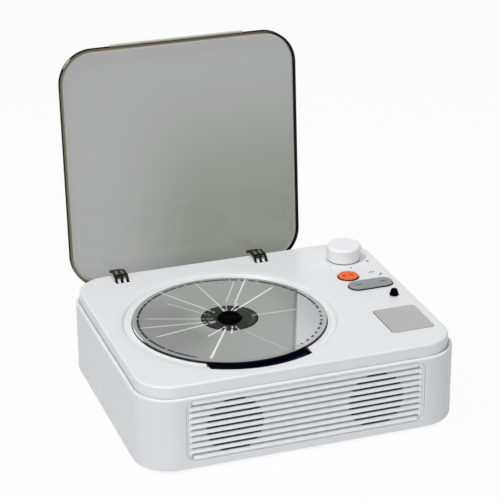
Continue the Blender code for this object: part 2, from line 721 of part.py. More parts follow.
def lower_shell():
    """The tub: walls, floor, grille window, posts for the screws and the board, and sockets."""
    half = Vector((CASE_WIDTH / 2, CASE_DEPTH / 2, 0))
    low = Vector((-half.x, -half.y, FOOT_PROUD))
    high = Vector((half.x, half.y, RIM_HEIGHT))
    shell = rounded_box("lower_shell", low, high, CASE_CORNER, RIM_ROUND, BOTTOM_ROUND)
    wall = Vector((SHELL_WALL, SHELL_WALL, 0))
    room = rounded_box(
        "shell_room",
        low + wall + Vector((0, 0, SHELL_FLOOR)),
        high - wall + Vector((0, 0, OVERRUN)),
        CASE_CORNER - SHELL_WALL,
        tool=True,
    )
    cut(shell, room)
    window = rounded_box(
        "grille_window",
        (GRILLE_LEFT, SHELL_FRONT - OVERRUN, GRILLE_LOW),
        (GRILLE_RIGHT, SHELL_FRONT + SHELL_WALL + OVERRUN, GRILLE_HIGH),
        GRILLE_CORNER, up="Y", tool=True,
    )
    cut(shell, window)
    root = FOOT_PROUD + SHELL_FLOOR / 2
    for i, at in enumerate(corners_of(POST_X, POST_Y)):
        post = rod(f"post_{i}", POST_RADIUS, root, POST_TOP, at, tool=True)
        well = rod(
            f"post_well_{i}", POST_WELL_RADIUS, FOOT_PROUD - OVERRUN, POST_SHOULDER, at, tool=True
        )
        hole = rod(
            f"post_hole_{i}", POST_HOLE_RADIUS, FOOT_PROUD, POST_TOP + OVERRUN, at,
            steps=SMALL_ROUND_STEPS, tool=True,
        )
        join(shell, post)
        cut(shell, well, hole)
    for i, at in enumerate(corners_of(FOOT_X, FOOT_Y)):
        recess = rod(
            f"foot_recess_{i}", FOOT_RADIUS + GAP, FOOT_PROUD - OVERRUN,
            FOOT_PROUD + FOOT_RECESS, at, tool=True,
        )
        cut(shell, recess)
    for i, at in enumerate(main_post_places()):
        post = rod(
            f"board_post_{i}", MAIN_POST_RADIUS, root, FLOOR_TOP + MAIN_POST_HEIGHT, at,
            steps=SMALL_ROUND_STEPS, tool=True,
        )
        join(shell, post)
    inside = SHELL_BACK - SHELL_WALL - OVERRUN
    usb_hole = rounded_box(
        "usb_hole",
        (USB_X - USB_WIDTH / 2 - GAP, inside, MAIN_TOP),
        (USB_X + USB_WIDTH / 2 + GAP, SHELL_BACK + OVERRUN, MAIN_TOP + USB_HEIGHT + GAP + GAP),
        USB_HEIGHT / 2, up="Y", tool=True,
    )
    jack_hole = rod(
        "jack_hole", JACK_BARREL_RADIUS + GAP, inside, SHELL_BACK + OVERRUN,
        (JACK_X, jack_height()), up="Y", tool=True,
    )
    cut(shell, usb_hole, jack_hole)
    finish(shell, "white")


def main_post_places():
    """The places of the four posts under the main board."""
    left = MAIN_LEFT + MAIN_POST_INSET
    right = MAIN_RIGHT - MAIN_POST_INSET
    front = MAIN_FRONT + MAIN_POST_INSET
    back = MAIN_BACK - MAIN_POST_INSET - USB_DEPTH
    return [(left, front), (right, front), (left, back), (right, back)]


def jack_height():
    """The height of the headphone jack's axis."""
    return MAIN_TOP + GAP + JACK_SIDE / 2


def top_deck():
    """The white top: skirt, dish, well, finger relief, hinge pockets, bosses and holes."""
    inset = Vector((DECK_INSET, DECK_INSET, 0))
    low = Vector((-CASE_WIDTH / 2, -CASE_DEPTH / 2, SKIRT_BOTTOM)) + inset
    high = Vector((CASE_WIDTH / 2, CASE_DEPTH / 2, DECK_HEIGHT)) - inset
    corner = CASE_CORNER - DECK_INSET
    deck = rounded_box("top_deck", low, high, corner, DECK_ROUND)
    skirt = Vector((SKIRT_WALL, SKIRT_WALL, 0))
    room = rounded_box(
        "deck_room",
        low + skirt - Vector((0, 0, OVERRUN)),
        high - skirt - Vector((0, 0, DECK_PLATE)),
        corner - SKIRT_WALL,
        tool=True,
    )
    cut(deck, room)
    disc_at = (DISC_X, DISC_Y)
    inside_plate = PLATE_BOTTOM + DECK_PLATE / 2
    ring = rod(
        "dish_ring", DISH_RADIUS + DISH_WALL, DISH_BOTTOM, inside_plate, disc_at,
        steps=WIDE_ROUND_STEPS, tool=True,
    )
    apron = rounded_box(
        "relief_apron",
        (DISC_X - RELIEF_HALF_WIDTH - DISH_WALL, DISC_Y - RELIEF_RADIUS - DISH_WALL, DISH_BOTTOM),
        (DISC_X + RELIEF_HALF_WIDTH + DISH_WALL, DISC_Y - WELL_RADIUS / 2, inside_plate),
        DISH_WALL, tool=True,
    )
    join(deck, ring, apron)
    lift = OVERRUN * (DISH_RADIUS - DISH_FLOOR_RADIUS) / DISH_DEPTH
    dish = rod(
        "dish", DISH_FLOOR_RADIUS, DISH_FLOOR, DECK_HEIGHT + OVERRUN, disc_at,
        steps=WIDE_ROUND_STEPS, end_radius=DISH_RADIUS + lift, tool=True,
    )
    well = rod(
        "well", WELL_RADIUS, DISH_BOTTOM - OVERRUN, DECK_HEIGHT, disc_at,
        steps=WIDE_ROUND_STEPS, tool=True,
    )
    cut(deck, dish, well, finger_relief())
    for side, x in HINGE_PLACES.items():
        hinge_pocket(deck, side, x)
    for i, at in enumerate(corners_of(POST_X, POST_Y)):
        boss = rod(f"boss_{i}", BOSS_RADIUS, POST_TOP + GAP, inside_plate, at, tool=True)
        pilot = rod(
            f"boss_pilot_{i}", BOSS_PILOT_RADIUS, POST_TOP - OVERRUN,
            POST_TOP + SCREW_GRIP + PILOT_SPARE, at, steps=SMALL_ROUND_STEPS, tool=True,
        )
        join(deck, boss)
        cut(deck, pilot)
    for i, at in enumerate(PEG_PLACES):
        peg = rod(
            f"peg_{i}", PEG_RADIUS, CONTROL_TOP + GAP, inside_plate, at,
            steps=SMALL_ROUND_STEPS, tool=True,
        )
        tip = rod(
            f"peg_tip_{i}", PEG_TIP_RADIUS, CONTROL_TOP + GAP - PEG_TIP, CONTROL_TOP + PEG_TIP,
            at, steps=SMALL_ROUND_STEPS, tool=True,
        )
        join(deck, peg, tip)
    control_holes(deck)
    finish(deck, "white")


def finger_relief():
    """The cutter for the hollow in front of the disc, with an arc for its outer side."""
    reach = math.asin(RELIEF_HALF_WIDTH / RELIEF_RADIUS)
    down = -math.pi / 2
    outline = arc(
        (DISC_X, DISC_Y), RELIEF_RADIUS, down - reach, down + reach, ROUND_STEPS // 2
    )
    inner = DISC_Y - WELL_RADIUS / 2
    outline.append((DISC_X + RELIEF_HALF_WIDTH, inner))
    outline.append((DISC_X - RELIEF_HALF_WIDTH, inner))
    return plate(
        "finger_relief", outline, DISH_BOTTOM - OVERRUN, DECK_HEIGHT + OVERRUN, tool=True
    )


def hinge_pocket(deck, side, x):
    """The pocket under the deck that a hinge arm swings in, its slot and the pin's hole."""
    half = HINGE_WIDTH / 2 + POCKET_SIDE_PLAY
    back = SHELL_BACK - DECK_INSET
    shell = box(
        f"pocket_{side}",
        (x - half - POCKET_WALL, HINGE_Y - POCKET_FRONT - POCKET_WALL,
         HINGE_Z - POCKET_DROP - POCKET_WALL),
        (x + half + POCKET_WALL, back, PLATE_BOTTOM + DECK_PLATE / 2),
        tool=True,
    )
    room = box(
        f"pocket_room_{side}",
        (x - half, HINGE_Y - POCKET_FRONT, HINGE_Z - POCKET_DROP),
        (x + half, HINGE_Y + POCKET_BACK, PLATE_BOTTOM),
        tool=True,
    )
    slot = box(
        f"slot_{side}",
        (x - half, HINGE_Y - SLOT_FRONT, PLATE_BOTTOM - OVERRUN),
        (x + half, HINGE_Y - SLOT_BACK, DECK_HEIGHT + OVERRUN),
        tool=True,
    )
    hole = rod(
        f"pin_hole_{side}", HINGE_PIN_RADIUS + GAP, x - half - POCKET_WALL - OVERRUN,
        x + half + POCKET_WALL + OVERRUN, (HINGE_Y, HINGE_Z), up="X",
        steps=SMALL_ROUND_STEPS, tool=True,
    )
    join(deck, shell)
    cut(deck, room, slot, hole)


def control_holes(deck):
    """The holes and recesses of the deck for the knob, buttons, window and plate."""
    low = PLATE_BOTTOM - OVERRUN
    high = DECK_HEIGHT + OVERRUN
    knob_hole = rod(
        "knob_hole", KNOB_STEM_RADIUS + BUTTON_PLAY, low, high, (KNOB_X, KNOB_Y), tool=True
    )
    play_hole = rod(
        "play_hole", PLAY_RADIUS + BUTTON_PLAY, low, high, (PLAY_X, PLAY_Y), tool=True
    )
    reach = ROCKER_LENGTH / 2 + BUTTON_PLAY
    half = ROCKER_WIDTH / 2 + BUTTON_PLAY
    rocker_hole = rounded_box(
        "rocker_hole", (ROCKER_X - reach, ROCKER_Y - half, low),
        (ROCKER_X + reach, ROCKER_Y + half, high), half - MERGE, tool=True,
    )
    eye_hole = rod(
        "eye_hole", EYE_STEM_RADIUS + GAP, low, high, (EYE_X, EYE_Y), steps=SMALL_ROUND_STEPS,
        tool=True,
    )
    badge_recess = rounded_box(
        "badge_recess", (BADGE_LEFT - GAP, BADGE_FRONT - GAP, DECK_HEIGHT - BADGE_RECESS),
        (BADGE_RIGHT + GAP, BADGE_BACK + GAP, high), BADGE_CORNER + GAP, tool=True,
    )
    cut(deck, knob_hole, play_hole, rocker_hole, eye_hole, badge_recess)


def disc_tray():
    """The dark floor of the well, with the lens slot and the posts that carry the works."""
    at = (DISC_X, DISC_Y)
    tray = rod("disc_tray", TRAY_RADIUS, TRAY_BOTTOM, TRAY_TOP, at, steps=WIDE_ROUND_STEPS)
    hole = rod(
        "hub_hole", HUB_STEM_RADIUS + HUB_HOLE_PLAY, TRAY_BOTTOM - OVERRUN,
        TRAY_TOP + OVERRUN, at,
        tool=True,
    )
    half = LENS_RADIUS + LENS_SLOT_PLAY
    slot = rounded_box(
        "lens_slot",
        (DISC_X - half, DISC_Y + LENS_START - half, TRAY_BOTTOM - OVERRUN),
        (DISC_X + half, DISC_Y + LENS_START + SLED_TRAVEL + half, TRAY_TOP + OVERRUN),
        half - MERGE, tool=True,
    )
    shoulder = CHASSIS_TOP + GAP + DAMPER_HEIGHT + GAP
    for i, (x, y) in enumerate(DAMPER_PLACES):
        where = (DISC_X + x, DISC_Y + y)
        if math.hypot(x, y) > TRAY_RADIUS - DAMPER_RADIUS:
            tab = rounded_box(
                f"tray_tab_{i}",
                (where[0] - DAMPER_RADIUS, DISC_Y + TRAY_RADIUS / 2 + LENS_START, TRAY_BOTTOM),
                (where[0] + DAMPER_RADIUS, where[1] + DAMPER_RADIUS, TRAY_TOP),
                DAMPER_RADIUS / 2, tool=True,
            )
            join(tray, tab)
        inside = TRAY_BOTTOM + TRAY_PLATE / 2
        post = rod(f"tray_post_{i}", DAMPER_RADIUS, shoulder, inside, where, tool=True)
        peg = rod(
            f"tray_peg_{i}", DAMPER_PEG_RADIUS, damper_peg_end(), inside, where,
            steps=SMALL_ROUND_STEPS, tool=True,
        )
        pilot = rod(
            f"tray_pilot_{i}", DAMPER_PILOT_RADIUS, damper_peg_end() - OVERRUN, shoulder, where,
            steps=SMALL_ROUND_STEPS, tool=True,
        )
        join(tray, post, peg)
        cut(tray, pilot)
    cut(tray, hole, slot)
    finish(tray, "navy")


def damper_peg_end():
    """The lower end of the tray's pegs, just past the chassis."""
    return CHASSIS_TOP - CHASSIS_PLATE - GAP


def dampers():
    """The rubber rings between tray and chassis, and the screws that hold them."""
    for i, (x, y) in enumerate(DAMPER_PLACES):
        where = (DISC_X + x, DISC_Y + y)
        low = CHASSIS_TOP + GAP
        ring = turned(
            f"damper_{i + 1}",
            [
                (DAMPER_RADIUS, DAMPER_HEIGHT),
                (DAMPER_RADIUS, 0),
                (DAMPER_BORE, 0),
                (DAMPER_BORE, DAMPER_HEIGHT),
            ],
            (*where, low), steps=ROUND_STEPS, closed=True,
        )
        finish(ring, "rubber")
        top = damper_peg_end() - GAP
        screw = turned(
            f"damper_screw_{i + 1}",
            [
                (0, DAMPER_WASHER_THICK + DAMPER_HEIGHT),
                (DAMPER_SCREW_RADIUS, DAMPER_WASHER_THICK + DAMPER_HEIGHT),
                (DAMPER_SCREW_RADIUS, DAMPER_WASHER_THICK),
                (DAMPER_WASHER_RADIUS, DAMPER_WASHER_THICK),
                (DAMPER_WASHER_RADIUS, 0),
                (0, 0),
            ],
            (*where, top - DAMPER_WASHER_THICK), steps=SMALL_ROUND_STEPS,
        )
        finish(screw, "steel")


def mech_chassis():
    """The plate under the tray that holds motor, rails and gears."""
    low = CHASSIS_TOP - CHASSIS_PLATE
    half = CHASSIS_WIDTH / 2
    chassis = box(
        "mech_chassis", (DISC_X - half, DISC_Y - CHASSIS_FRONT, low),
        (DISC_X + half, DISC_Y + CHASSIS_BACK, CHASSIS_TOP),
    )
    wing = box(
        "chassis_wing",
        (DISC_X + half / 2, DISC_Y + GEAR_Y - CHASSIS_WING_DEPTH / 2, low),
        (DISC_X + half + CHASSIS_WING, DISC_Y + GEAR_Y + CHASSIS_WING_DEPTH / 2, CHASSIS_TOP),
        tool=True,
    )
    join(chassis, wing)
    opening = box(
        "chassis_opening",
        (DISC_X - CHASSIS_HOLE_WIDTH / 2, DISC_Y + RAIL_START + RAIL_POST_DEPTH, low - OVERRUN),
        (DISC_X + CHASSIS_HOLE_WIDTH / 2, DISC_Y + RAIL_END - CHASSIS_OPENING_END,
         CHASSIS_TOP + OVERRUN),
        tool=True,
    )
    cut(chassis, opening)
    for i, rail_x in enumerate((-RAIL_SPACING / 2, RAIL_SPACING / 2)):
        for j, y in enumerate((RAIL_START, RAIL_END - RAIL_POST_DEPTH)):
            post = box(
                f"rail_post_{i}{j}",
                (DISC_X + rail_x - RAIL_POST_WIDTH / 2, DISC_Y + y, low + CHASSIS_PLATE / 2),
                (DISC_X + rail_x + RAIL_POST_WIDTH / 2, DISC_Y + y + RAIL_POST_DEPTH,
                 RAIL_HEIGHT + RAIL_POST_WIDTH / 2),
                tool=True,
            )
            join(chassis, post)
        bore = rod(
            f"rail_bore_{i}", RAIL_RADIUS + GAP, DISC_Y + RAIL_START - OVERRUN,
            DISC_Y + RAIL_END + OVERRUN, (DISC_X + rail_x, RAIL_HEIGHT), up="Y",
            steps=SMALL_ROUND_STEPS, tool=True,
        )
        cut(chassis, bore)
    for i, (x, y) in enumerate(DAMPER_PLACES):
        hole = rod(
            f"damper_hole_{i}", DAMPER_PEG_RADIUS + GAP, low - OVERRUN, CHASSIS_TOP + OVERRUN,
            (DISC_X + x, DISC_Y + y), steps=SMALL_ROUND_STEPS, tool=True,
        )
        cut(chassis, hole)
    stud = rod(
        "gear_stud", STUD_RADIUS, low + CHASSIS_PLATE / 2, SMALL_GEAR_TOP + GAP,
        (DISC_X + GEAR_X, DISC_Y + GEAR_Y), steps=SMALL_ROUND_STEPS, tool=True,
    )
    shaft_hole = rod(
        "shaft_hole", PINION_SHAFT_RADIUS + GAP, low - OVERRUN, CHASSIS_TOP + OVERRUN,
        (DISC_X + PINION_X, DISC_Y + GEAR_Y), steps=SMALL_ROUND_STEPS, tool=True,
    )
    join(chassis, stud)
    cut(chassis, shaft_hole)
    finish(chassis, "black")


def spindle():
    """The spindle motor, its shaft, the hub with its platform, and the rubber mat."""
    motor = turned(
        "spindle_motor",
        [
            (0, MOTOR_HEIGHT),
            (MOTOR_RADIUS - MOTOR_CHAMFER, MOTOR_HEIGHT),
            (MOTOR_RADIUS, MOTOR_HEIGHT - MOTOR_CHAMFER),
            (MOTOR_RADIUS, 0),
            (0, 0),
        ],
        (DISC_X, DISC_Y, CHASSIS_TOP + GAP),
    )
    finish(motor, "steel")
    stem_bottom = MOTOR_TOP + GAP + MOTOR_SHAFT_RADIUS
    shaft = rod(
        "motor_shaft", MOTOR_SHAFT_RADIUS, MOTOR_TOP + GAP, PLATFORM_TOP,
        (DISC_X, DISC_Y), steps=SMALL_ROUND_STEPS,
    )
    finish(shaft, "steel")
    top = DECK_HEIGHT + HUB_PROUD
    bore = MOTOR_SHAFT_RADIUS + GAP
    hub = turned(
        "turntable_hub",
        [
            (0, top),
            (HUB_BOSS_RADIUS - HUB_CHAMFER, top),
            (HUB_BOSS_RADIUS, DISC_BOTTOM + DISC_THICK - HUB_CHAMFER / 2),
            (HUB_BOSS_RADIUS, PLATFORM_TOP),
            (HUB_PLATFORM_RADIUS, PLATFORM_TOP),
            (HUB_PLATFORM_RADIUS, PLATFORM_BOTTOM),
            (HUB_STEM_RADIUS, PLATFORM_BOTTOM),
            (HUB_STEM_RADIUS, stem_bottom),
            (bore, stem_bottom),
            (bore, PLATFORM_TOP + GAP),
            (0, PLATFORM_TOP + GAP),
        ],
        (DISC_X, DISC_Y, 0), steps=HUB_STEPS,
    )
    finish(hub, "black")
    mat = turned(
        "turntable_mat",
        [(MAT_RADIUS, MAT_THICK), (MAT_RADIUS, 0), (MAT_HOLE, 0), (MAT_HOLE, MAT_THICK)],
        (DISC_X, DISC_Y, MAT_BOTTOM), steps=ROUND_STEPS, closed=True,
    )
    finish(mat, "rubber")


def compact_disc():
    """The disc, with its hole."""
    disc = turned(
        "compact_disc",
        [(DISC_RADIUS, DISC_THICK), (DISC_RADIUS, 0), (DISC_HOLE, 0), (DISC_HOLE, DISC_THICK)],
        (DISC_X, DISC_Y, DISC_BOTTOM), steps=WIDE_ROUND_STEPS, closed=True,
    )
    finish(disc, "disc")


def gear_outline(teeth, module, first_angle):
    """The outline of a gear with straight-sided teeth and some backlash."""
    pitch = teeth * module / 2
    tip = pitch + ADDENDUM_SHARE * module
    root = pitch - DEDENDUM_SHARE * module
    thick = math.pi * module * (1 - BACKLASH_SHARE) / 2
    slope = math.tan(PRESSURE_ANGLE)
    points = []
    for i in range(teeth):
        middle = first_angle + 2 * math.pi * i / teeth
        for side in (-1, 1):
            radii = (root, tip) if side < 0 else (tip, root)
            for radius in radii:
                half = thick / 2 + (pitch - radius) * slope
                angle = middle + side * half / radius
                points.append((radius * math.cos(angle), radius * math.sin(angle)))
    return points


def rack_outline():
    """The outline of the rack's bar and teeth, measured from where it meets the gear at rest."""
    thick = RACK_STEP * (1 - BACKLASH_SHARE) / 2
    slope = math.tan(PRESSURE_ANGLE)
    tip = ADDENDUM_SHARE * RACK_MODULE
    root = -DEDENDUM_SHARE * RACK_MODULE
    first = (RACK_TEETH_AHEAD - RACK_TEETH) * RACK_STEP
    last = RACK_TEETH_AHEAD * RACK_STEP
    points = [(root - RACK_BAR, last), (root - RACK_BAR, first), (root, first)]
    for i in range(RACK_TEETH):
        middle = first + (i + 1 / 2) * RACK_STEP
        for depth, side in ((root, -1), (tip, -1), (tip, 1), (root, 1)):
            half = thick / 2 - depth * slope
            points.append((depth, middle + side * half))
    points.append((root, last))
    return points


def sled():
    """The sled with its rack, the lens, and the gears and motor that drive it."""
    low = (DISC_X - SLED_WIDTH / 2, DISC_Y + SLED_START, SLED_BOTTOM)
    high = (DISC_X + SLED_WIDTH / 2, DISC_Y + SLED_START + SLED_DEPTH, SLED_TOP)
    body = box("laser_sled", low, high)
    for i, rail_x in enumerate((-RAIL_SPACING / 2, RAIL_SPACING / 2)):
        bore = rod(
            f"sled_bore_{i}", RAIL_RADIUS + RAIL_BORE_PLAY, low[1] - OVERRUN, high[1] + OVERRUN,
            (DISC_X + rail_x, RAIL_HEIGHT), up="Y", steps=SMALL_ROUND_STEPS, tool=True,
        )
        cut(body, bore)
    rack = plate(
        "rack", rack_outline(), RACK_LOW, RACK_HIGH,
        location=(DISC_X + RACK_PITCH_X, DISC_Y + GEAR_Y, 0), tool=True,
    )
    join(body, rack)
    finish(body, "nylon")
    lens = turned(
        "objective_lens",
        [
            (0, LENS_TOP),
            (LENS_RADIUS / 2, LENS_TOP - LENS_DOME * LENS_EDGE_SHARE),
            (LENS_RADIUS, LENS_TOP - LENS_DOME),
            (LENS_RADIUS, SLED_TOP + GAP),
            (0, SLED_TOP + GAP),
        ],
        (DISC_X, DISC_Y + LENS_START, 0),
    )
    finish(lens, "navy")
    for side, rail_x in (("left", -RAIL_SPACING / 2), ("right", RAIL_SPACING / 2)):
        rail = rod(
            f"sled_rail_{side}", RAIL_RADIUS, DISC_Y + RAIL_START, DISC_Y + RAIL_END,
            (DISC_X + rail_x, RAIL_HEIGHT), up="Y", steps=SMALL_ROUND_STEPS,
        )
        finish(rail, "steel")


def gears():
    """The reduction gear on its stud, the motor's pinion, and the motor under the chassis."""
    where = (DISC_X + GEAR_X, DISC_Y + GEAR_Y, 0)
    gear = plate(
        "reduction_gear", gear_outline(LARGE_GEAR_TEETH, DRIVE_MODULE, 0.0), LARGE_GEAR_LOW,
        LARGE_GEAR_LOW + LARGE_GEAR_THICK, location=where,
    )
    small = plate(
        "small_gear", gear_outline(SMALL_GEAR_TEETH, RACK_MODULE, math.pi),
        LARGE_GEAR_LOW + LARGE_GEAR_THICK / 2, SMALL_GEAR_TOP, location=where, tool=True,
    )
    bore = rod(
        "gear_bore", STUD_RADIUS + STUD_PLAY, LARGE_GEAR_LOW - OVERRUN, SMALL_GEAR_TOP + OVERRUN,
        where[:2], steps=SMALL_ROUND_STEPS, tool=True,
    )
    join(gear, small)
    cut(gear, bore)
    finish(gear, "nylon")
    pinion_at = (DISC_X + PINION_X, DISC_Y + GEAR_Y, 0)
    pinion_first = math.pi + math.pi / PINION_TEETH
    pinion = plate(
        "motor_pinion", gear_outline(PINION_TEETH, DRIVE_MODULE, pinion_first),
        LARGE_GEAR_LOW, LARGE_GEAR_LOW + LARGE_GEAR_THICK + PINION_PROUD, location=pinion_at,
    )
    motor_top = CHASSIS_TOP - CHASSIS_PLATE - GAP
    shaft = rod(
        "pinion_shaft", PINION_SHAFT_RADIUS, motor_top + GAP,
        LARGE_GEAR_LOW + LARGE_GEAR_THICK / 2, pinion_at[:2], steps=SMALL_ROUND_STEPS, tool=True,
    )
    join(pinion, shaft)
    finish(pinion, "steel")
    motor = rod(
        "sled_motor", SLED_MOTOR_RADIUS, motor_top - SLED_MOTOR_HEIGHT, motor_top, pinion_at[:2]
    )
    finish(motor, "steel")


def lid(pivot):
    """The smoked lid: a thin panel in a rim, with a grip strip. It leans back at its stop."""
    lid_low = (-LID_WIDTH / 2, LID_OFFSET, -LID_TAIL)
    lid_high = (LID_WIDTH / 2, LID_OFFSET + LID_THICK, LID_LENGTH - LID_TAIL)
    panel = rounded_box(
        "lid_panel", lid_low, lid_high, LID_CORNER, top=LID_EDGE_ROUND, up="Y", parent=pivot
    )
    recess = rounded_box(
        "lid_recess",
        (lid_low[0] + LID_RIM, LID_OFFSET - OVERRUN, lid_low[2] + LID_RIM),
        (lid_high[0] - LID_RIM, LID_OFFSET + LID_THICK - LID_PANEL, lid_high[2] - LID_RIM),
        LID_CORNER - LID_RIM, up="Y", parent=pivot, tool=True,
    )
    grip = box(
        "lid_grip",
        (-LID_GRIP_WIDTH / 2, lid_high[1] - LID_GRIP_THICK, lid_high[2] - LID_RIM),
        (LID_GRIP_WIDTH / 2, lid_high[1] - LID_EDGE_ROUND / 2, lid_high[2] + LID_GRIP_PROUD),
        parent=pivot, tool=True,
    )
    cut(panel, recess)
    join(panel, grip)
    finish(panel, "smoked")


def arm_outline():
    """The side view of a hinge arm about the pin, in (Y, Z): straight, bend, heel, to the barrel."""
    end = lid_face_y() - ARM_PAD_THICK / 2
    bend = (-ARM_BEND_Y, ARM_LIFT - ARM_BEND)
    heel = (-ARM_BEND_Y - ARM_BEND + ARM_HEEL_BEND, ARM_HEEL_BEND - ARM_HEEL_DROP)
    sides = []
    for out in (ARM_HALF, -ARM_HALF):
        side = [(end, ARM_LIFT + out)]
        side += arc(bend, ARM_BEND + out, math.pi / 2, math.pi, BEND_STEPS)
        side += arc(heel, ARM_HEEL_BEND + out, math.pi, 3 * math.pi / 2, BEND_STEPS)
        side.append((0, -ARM_HEEL_DROP - out))
        sides.append(side)
    return sides[0] + sides[1][::-1]


def lid_face_y():
    """Where the lid's inner panel face is, at the arm's height, less the gap to it."""
    face = LID_OFFSET + LID_THICK - LID_PANEL - GAP
    return (face + ARM_LIFT * math.sin(LID_LEAN)) / math.cos(LID_LEAN)


def hinge_arm(side, x, axis, lean):
    """One three-pronged arm with its barrel, cross bars and the pad on the lid."""
    arm = rod(
        f"hinge_arm_{side}", ARM_BARREL, x - HINGE_WIDTH / 2, x + HINGE_WIDTH / 2, (0, 0),
        up="X", steps=ROUND_STEPS, parent=axis,
    )
    outline = arm_outline()
    pitch = (HINGE_WIDTH - ARM_PRONG) / (ARM_PRONGS - 1)
    for i in range(ARM_PRONGS):
        start = x - HINGE_WIDTH / 2 + i * pitch
        prong = plate(
            f"prong_{side}_{i}", outline, start, start + ARM_PRONG, up="X", parent=axis, tool=True
        )
        join(arm, prong)
    inner = (x - HINGE_WIDTH / 2 + ARM_PRONG / 2, x + HINGE_WIDTH / 2 - ARM_PRONG / 2)
    bar = box(
        f"arm_bar_{side}", (inner[0], ARM_BAR_Y - ARM_BAR / 2, ARM_LIFT - ARM_HALF),
        (inner[1], ARM_BAR_Y + ARM_BAR / 2, ARM_LIFT + ARM_HALF - MERGE), parent=axis, tool=True,
    )
    face = LID_OFFSET + LID_THICK - LID_PANEL - GAP
    level = ARM_LIFT / math.cos(LID_LEAN) + face * math.tan(LID_LEAN)
    pad = rounded_box(
        f"arm_pad_{side}",
        (x - HINGE_WIDTH / 2, face - ARM_PAD_THICK, level - ARM_PAD_HEIGHT / 2),
        (x + HINGE_WIDTH / 2, face, level + ARM_PAD_HEIGHT / 2),
        ARM_HALF, up="Y", parent=lean, tool=True,
    )
    bore = rod(
        f"arm_bore_{side}", HINGE_PIN_RADIUS + HINGE_PIN_PLAY, x - HINGE_WIDTH, x + HINGE_WIDTH,
        (0, 0), up="X", steps=SMALL_ROUND_STEPS, parent=axis, tool=True,
    )
    join(arm, bar, pad)
    cut(arm, bore)
    finish(arm, "smoked")


def lid_and_hinges():
    """The lid's axis, the lid leaning on it, and each hinge with its fixed pin."""
    axis = bpy.data.objects.new("lid_axis", None)
    axis.location = (LID_X, HINGE_Y, HINGE_Z)
    PARTS.objects.link(axis)
    lean = bpy.data.objects.new("lid_lean", None)
    lean.parent = axis
    lean.rotation_euler = (-LID_LEAN, 0, 0)
    PARTS.objects.link(lean)
    lid(lean)
    for side, x in HINGE_PLACES.items():
        hinge_arm(side, x - LID_X, axis, lean)
        reach = HINGE_WIDTH / 2 + POCKET_SIDE_PLAY + POCKET_WALL
        pin = rod(
            f"hinge_pin_{side}", HINGE_PIN_RADIUS, x - reach, x + reach, (HINGE_Y, HINGE_Z),
            up="X", steps=SMALL_ROUND_STEPS,
        )
        finish(pin, "steel")


def volume():
    """The knob with its stem, and the pot that the stem turns in."""
    low = DECK_HEIGHT + GAP
    top = low + KNOB_HEIGHT
    end = PLATE_BOTTOM - KNOB_STEM_DEPTH
    edge = arc(
        (KNOB_TOP_RADIUS - KNOB_ROUND, top - KNOB_ROUND), KNOB_ROUND, math.pi / 2, 0,
        KNOB_ROUND_STEPS,
    )
    knob = turned(
        "volume_knob",
        [(0, top)] + edge + [
            (KNOB_BASE_RADIUS, low),
            (KNOB_STEM_RADIUS, low),
            (KNOB_STEM_RADIUS, end),
            (0, end),
        ],
        (KNOB_X, KNOB_Y, 0), steps=WIDE_ROUND_STEPS // 2,
    )
    finish(knob, "white")
    half = POT_SIDE / 2
    pot_top = PLATE_BOTTOM - GAP - POT_NECK
    pot = box(
        "volume_pot", (KNOB_X - half, KNOB_Y - half, CONTROL_TOP + GAP),
        (KNOB_X + half, KNOB_Y + half, pot_top),
    )
    neck = rod(
        "pot_neck", POT_NECK_RADIUS, pot_top - POT_NECK, PLATE_BOTTOM - GAP, (KNOB_X, KNOB_Y),
        tool=True,
    )
    bore = rod(
        "pot_bore", KNOB_STEM_RADIUS + GAP, end - GAP, PLATE_BOTTOM + OVERRUN, (KNOB_X, KNOB_Y),
        tool=True,
    )
    join(pot, neck)
    cut(pot, bore)
    finish(pot, "steel")


def play_button():
    """The round button, with the flange that keeps it under the deck."""
    top = DECK_HEIGHT + PLAY_PROUD
    bottom = FLANGE_TOP - PLAY_FLANGE
    wide = PLAY_RADIUS + BUTTON_PLAY + PLAY_FLANGE
    button = turned(
        "play_button",
        [
            (0, top),
            (PLAY_RADIUS - BUTTON_ROUND, top),
            (PLAY_RADIUS, top - BUTTON_ROUND),
            (PLAY_RADIUS, FLANGE_TOP),
            (wide, FLANGE_TOP),
            (wide, bottom),
            (0, bottom),
        ],
        (PLAY_X, PLAY_Y, 0),
    )
    finish(button, "orange")
    tact_switch("play_switch", PLAY_X, PLAY_Y, bottom - PLAY_TRAVEL - GAP / 2)


def skip_rocker():
    """The long rocker, its flange under the deck, and the two switches under its ends."""
    half = ROCKER_WIDTH / 2
    reach = ROCKER_LENGTH / 2
    dip = reach * math.sin(ROCKER_TILT)
    flange_top = PLATE_BOTTOM - GAP - dip
    bottom = flange_top - PLAY_FLANGE
    rocker = rounded_box(
        "skip_rocker", (ROCKER_X - reach, ROCKER_Y - half, bottom),
        (ROCKER_X + reach, ROCKER_Y + half, DECK_HEIGHT + ROCKER_PROUD), half - MERGE,
        top=BUTTON_ROUND,
    )
    ears = box(
        "rocker_ears", (ROCKER_X - half / 2, ROCKER_Y - half - PLAY_FLANGE, bottom),
        (ROCKER_X + half / 2, ROCKER_Y + half + PLAY_FLANGE, FLANGE_TOP - GAP), tool=True,
    )
    join(rocker, ears)
    finish(rocker, "grey")
    press = (ROCKER_PRESS + SWITCH_STEM_RADIUS) * math.sin(ROCKER_TILT)
    for name, side in (("prev_switch", -1), ("next_switch", 1)):
        tact_switch(name, ROCKER_X + side * ROCKER_PRESS, ROCKER_Y, bottom - press - GAP / 2)


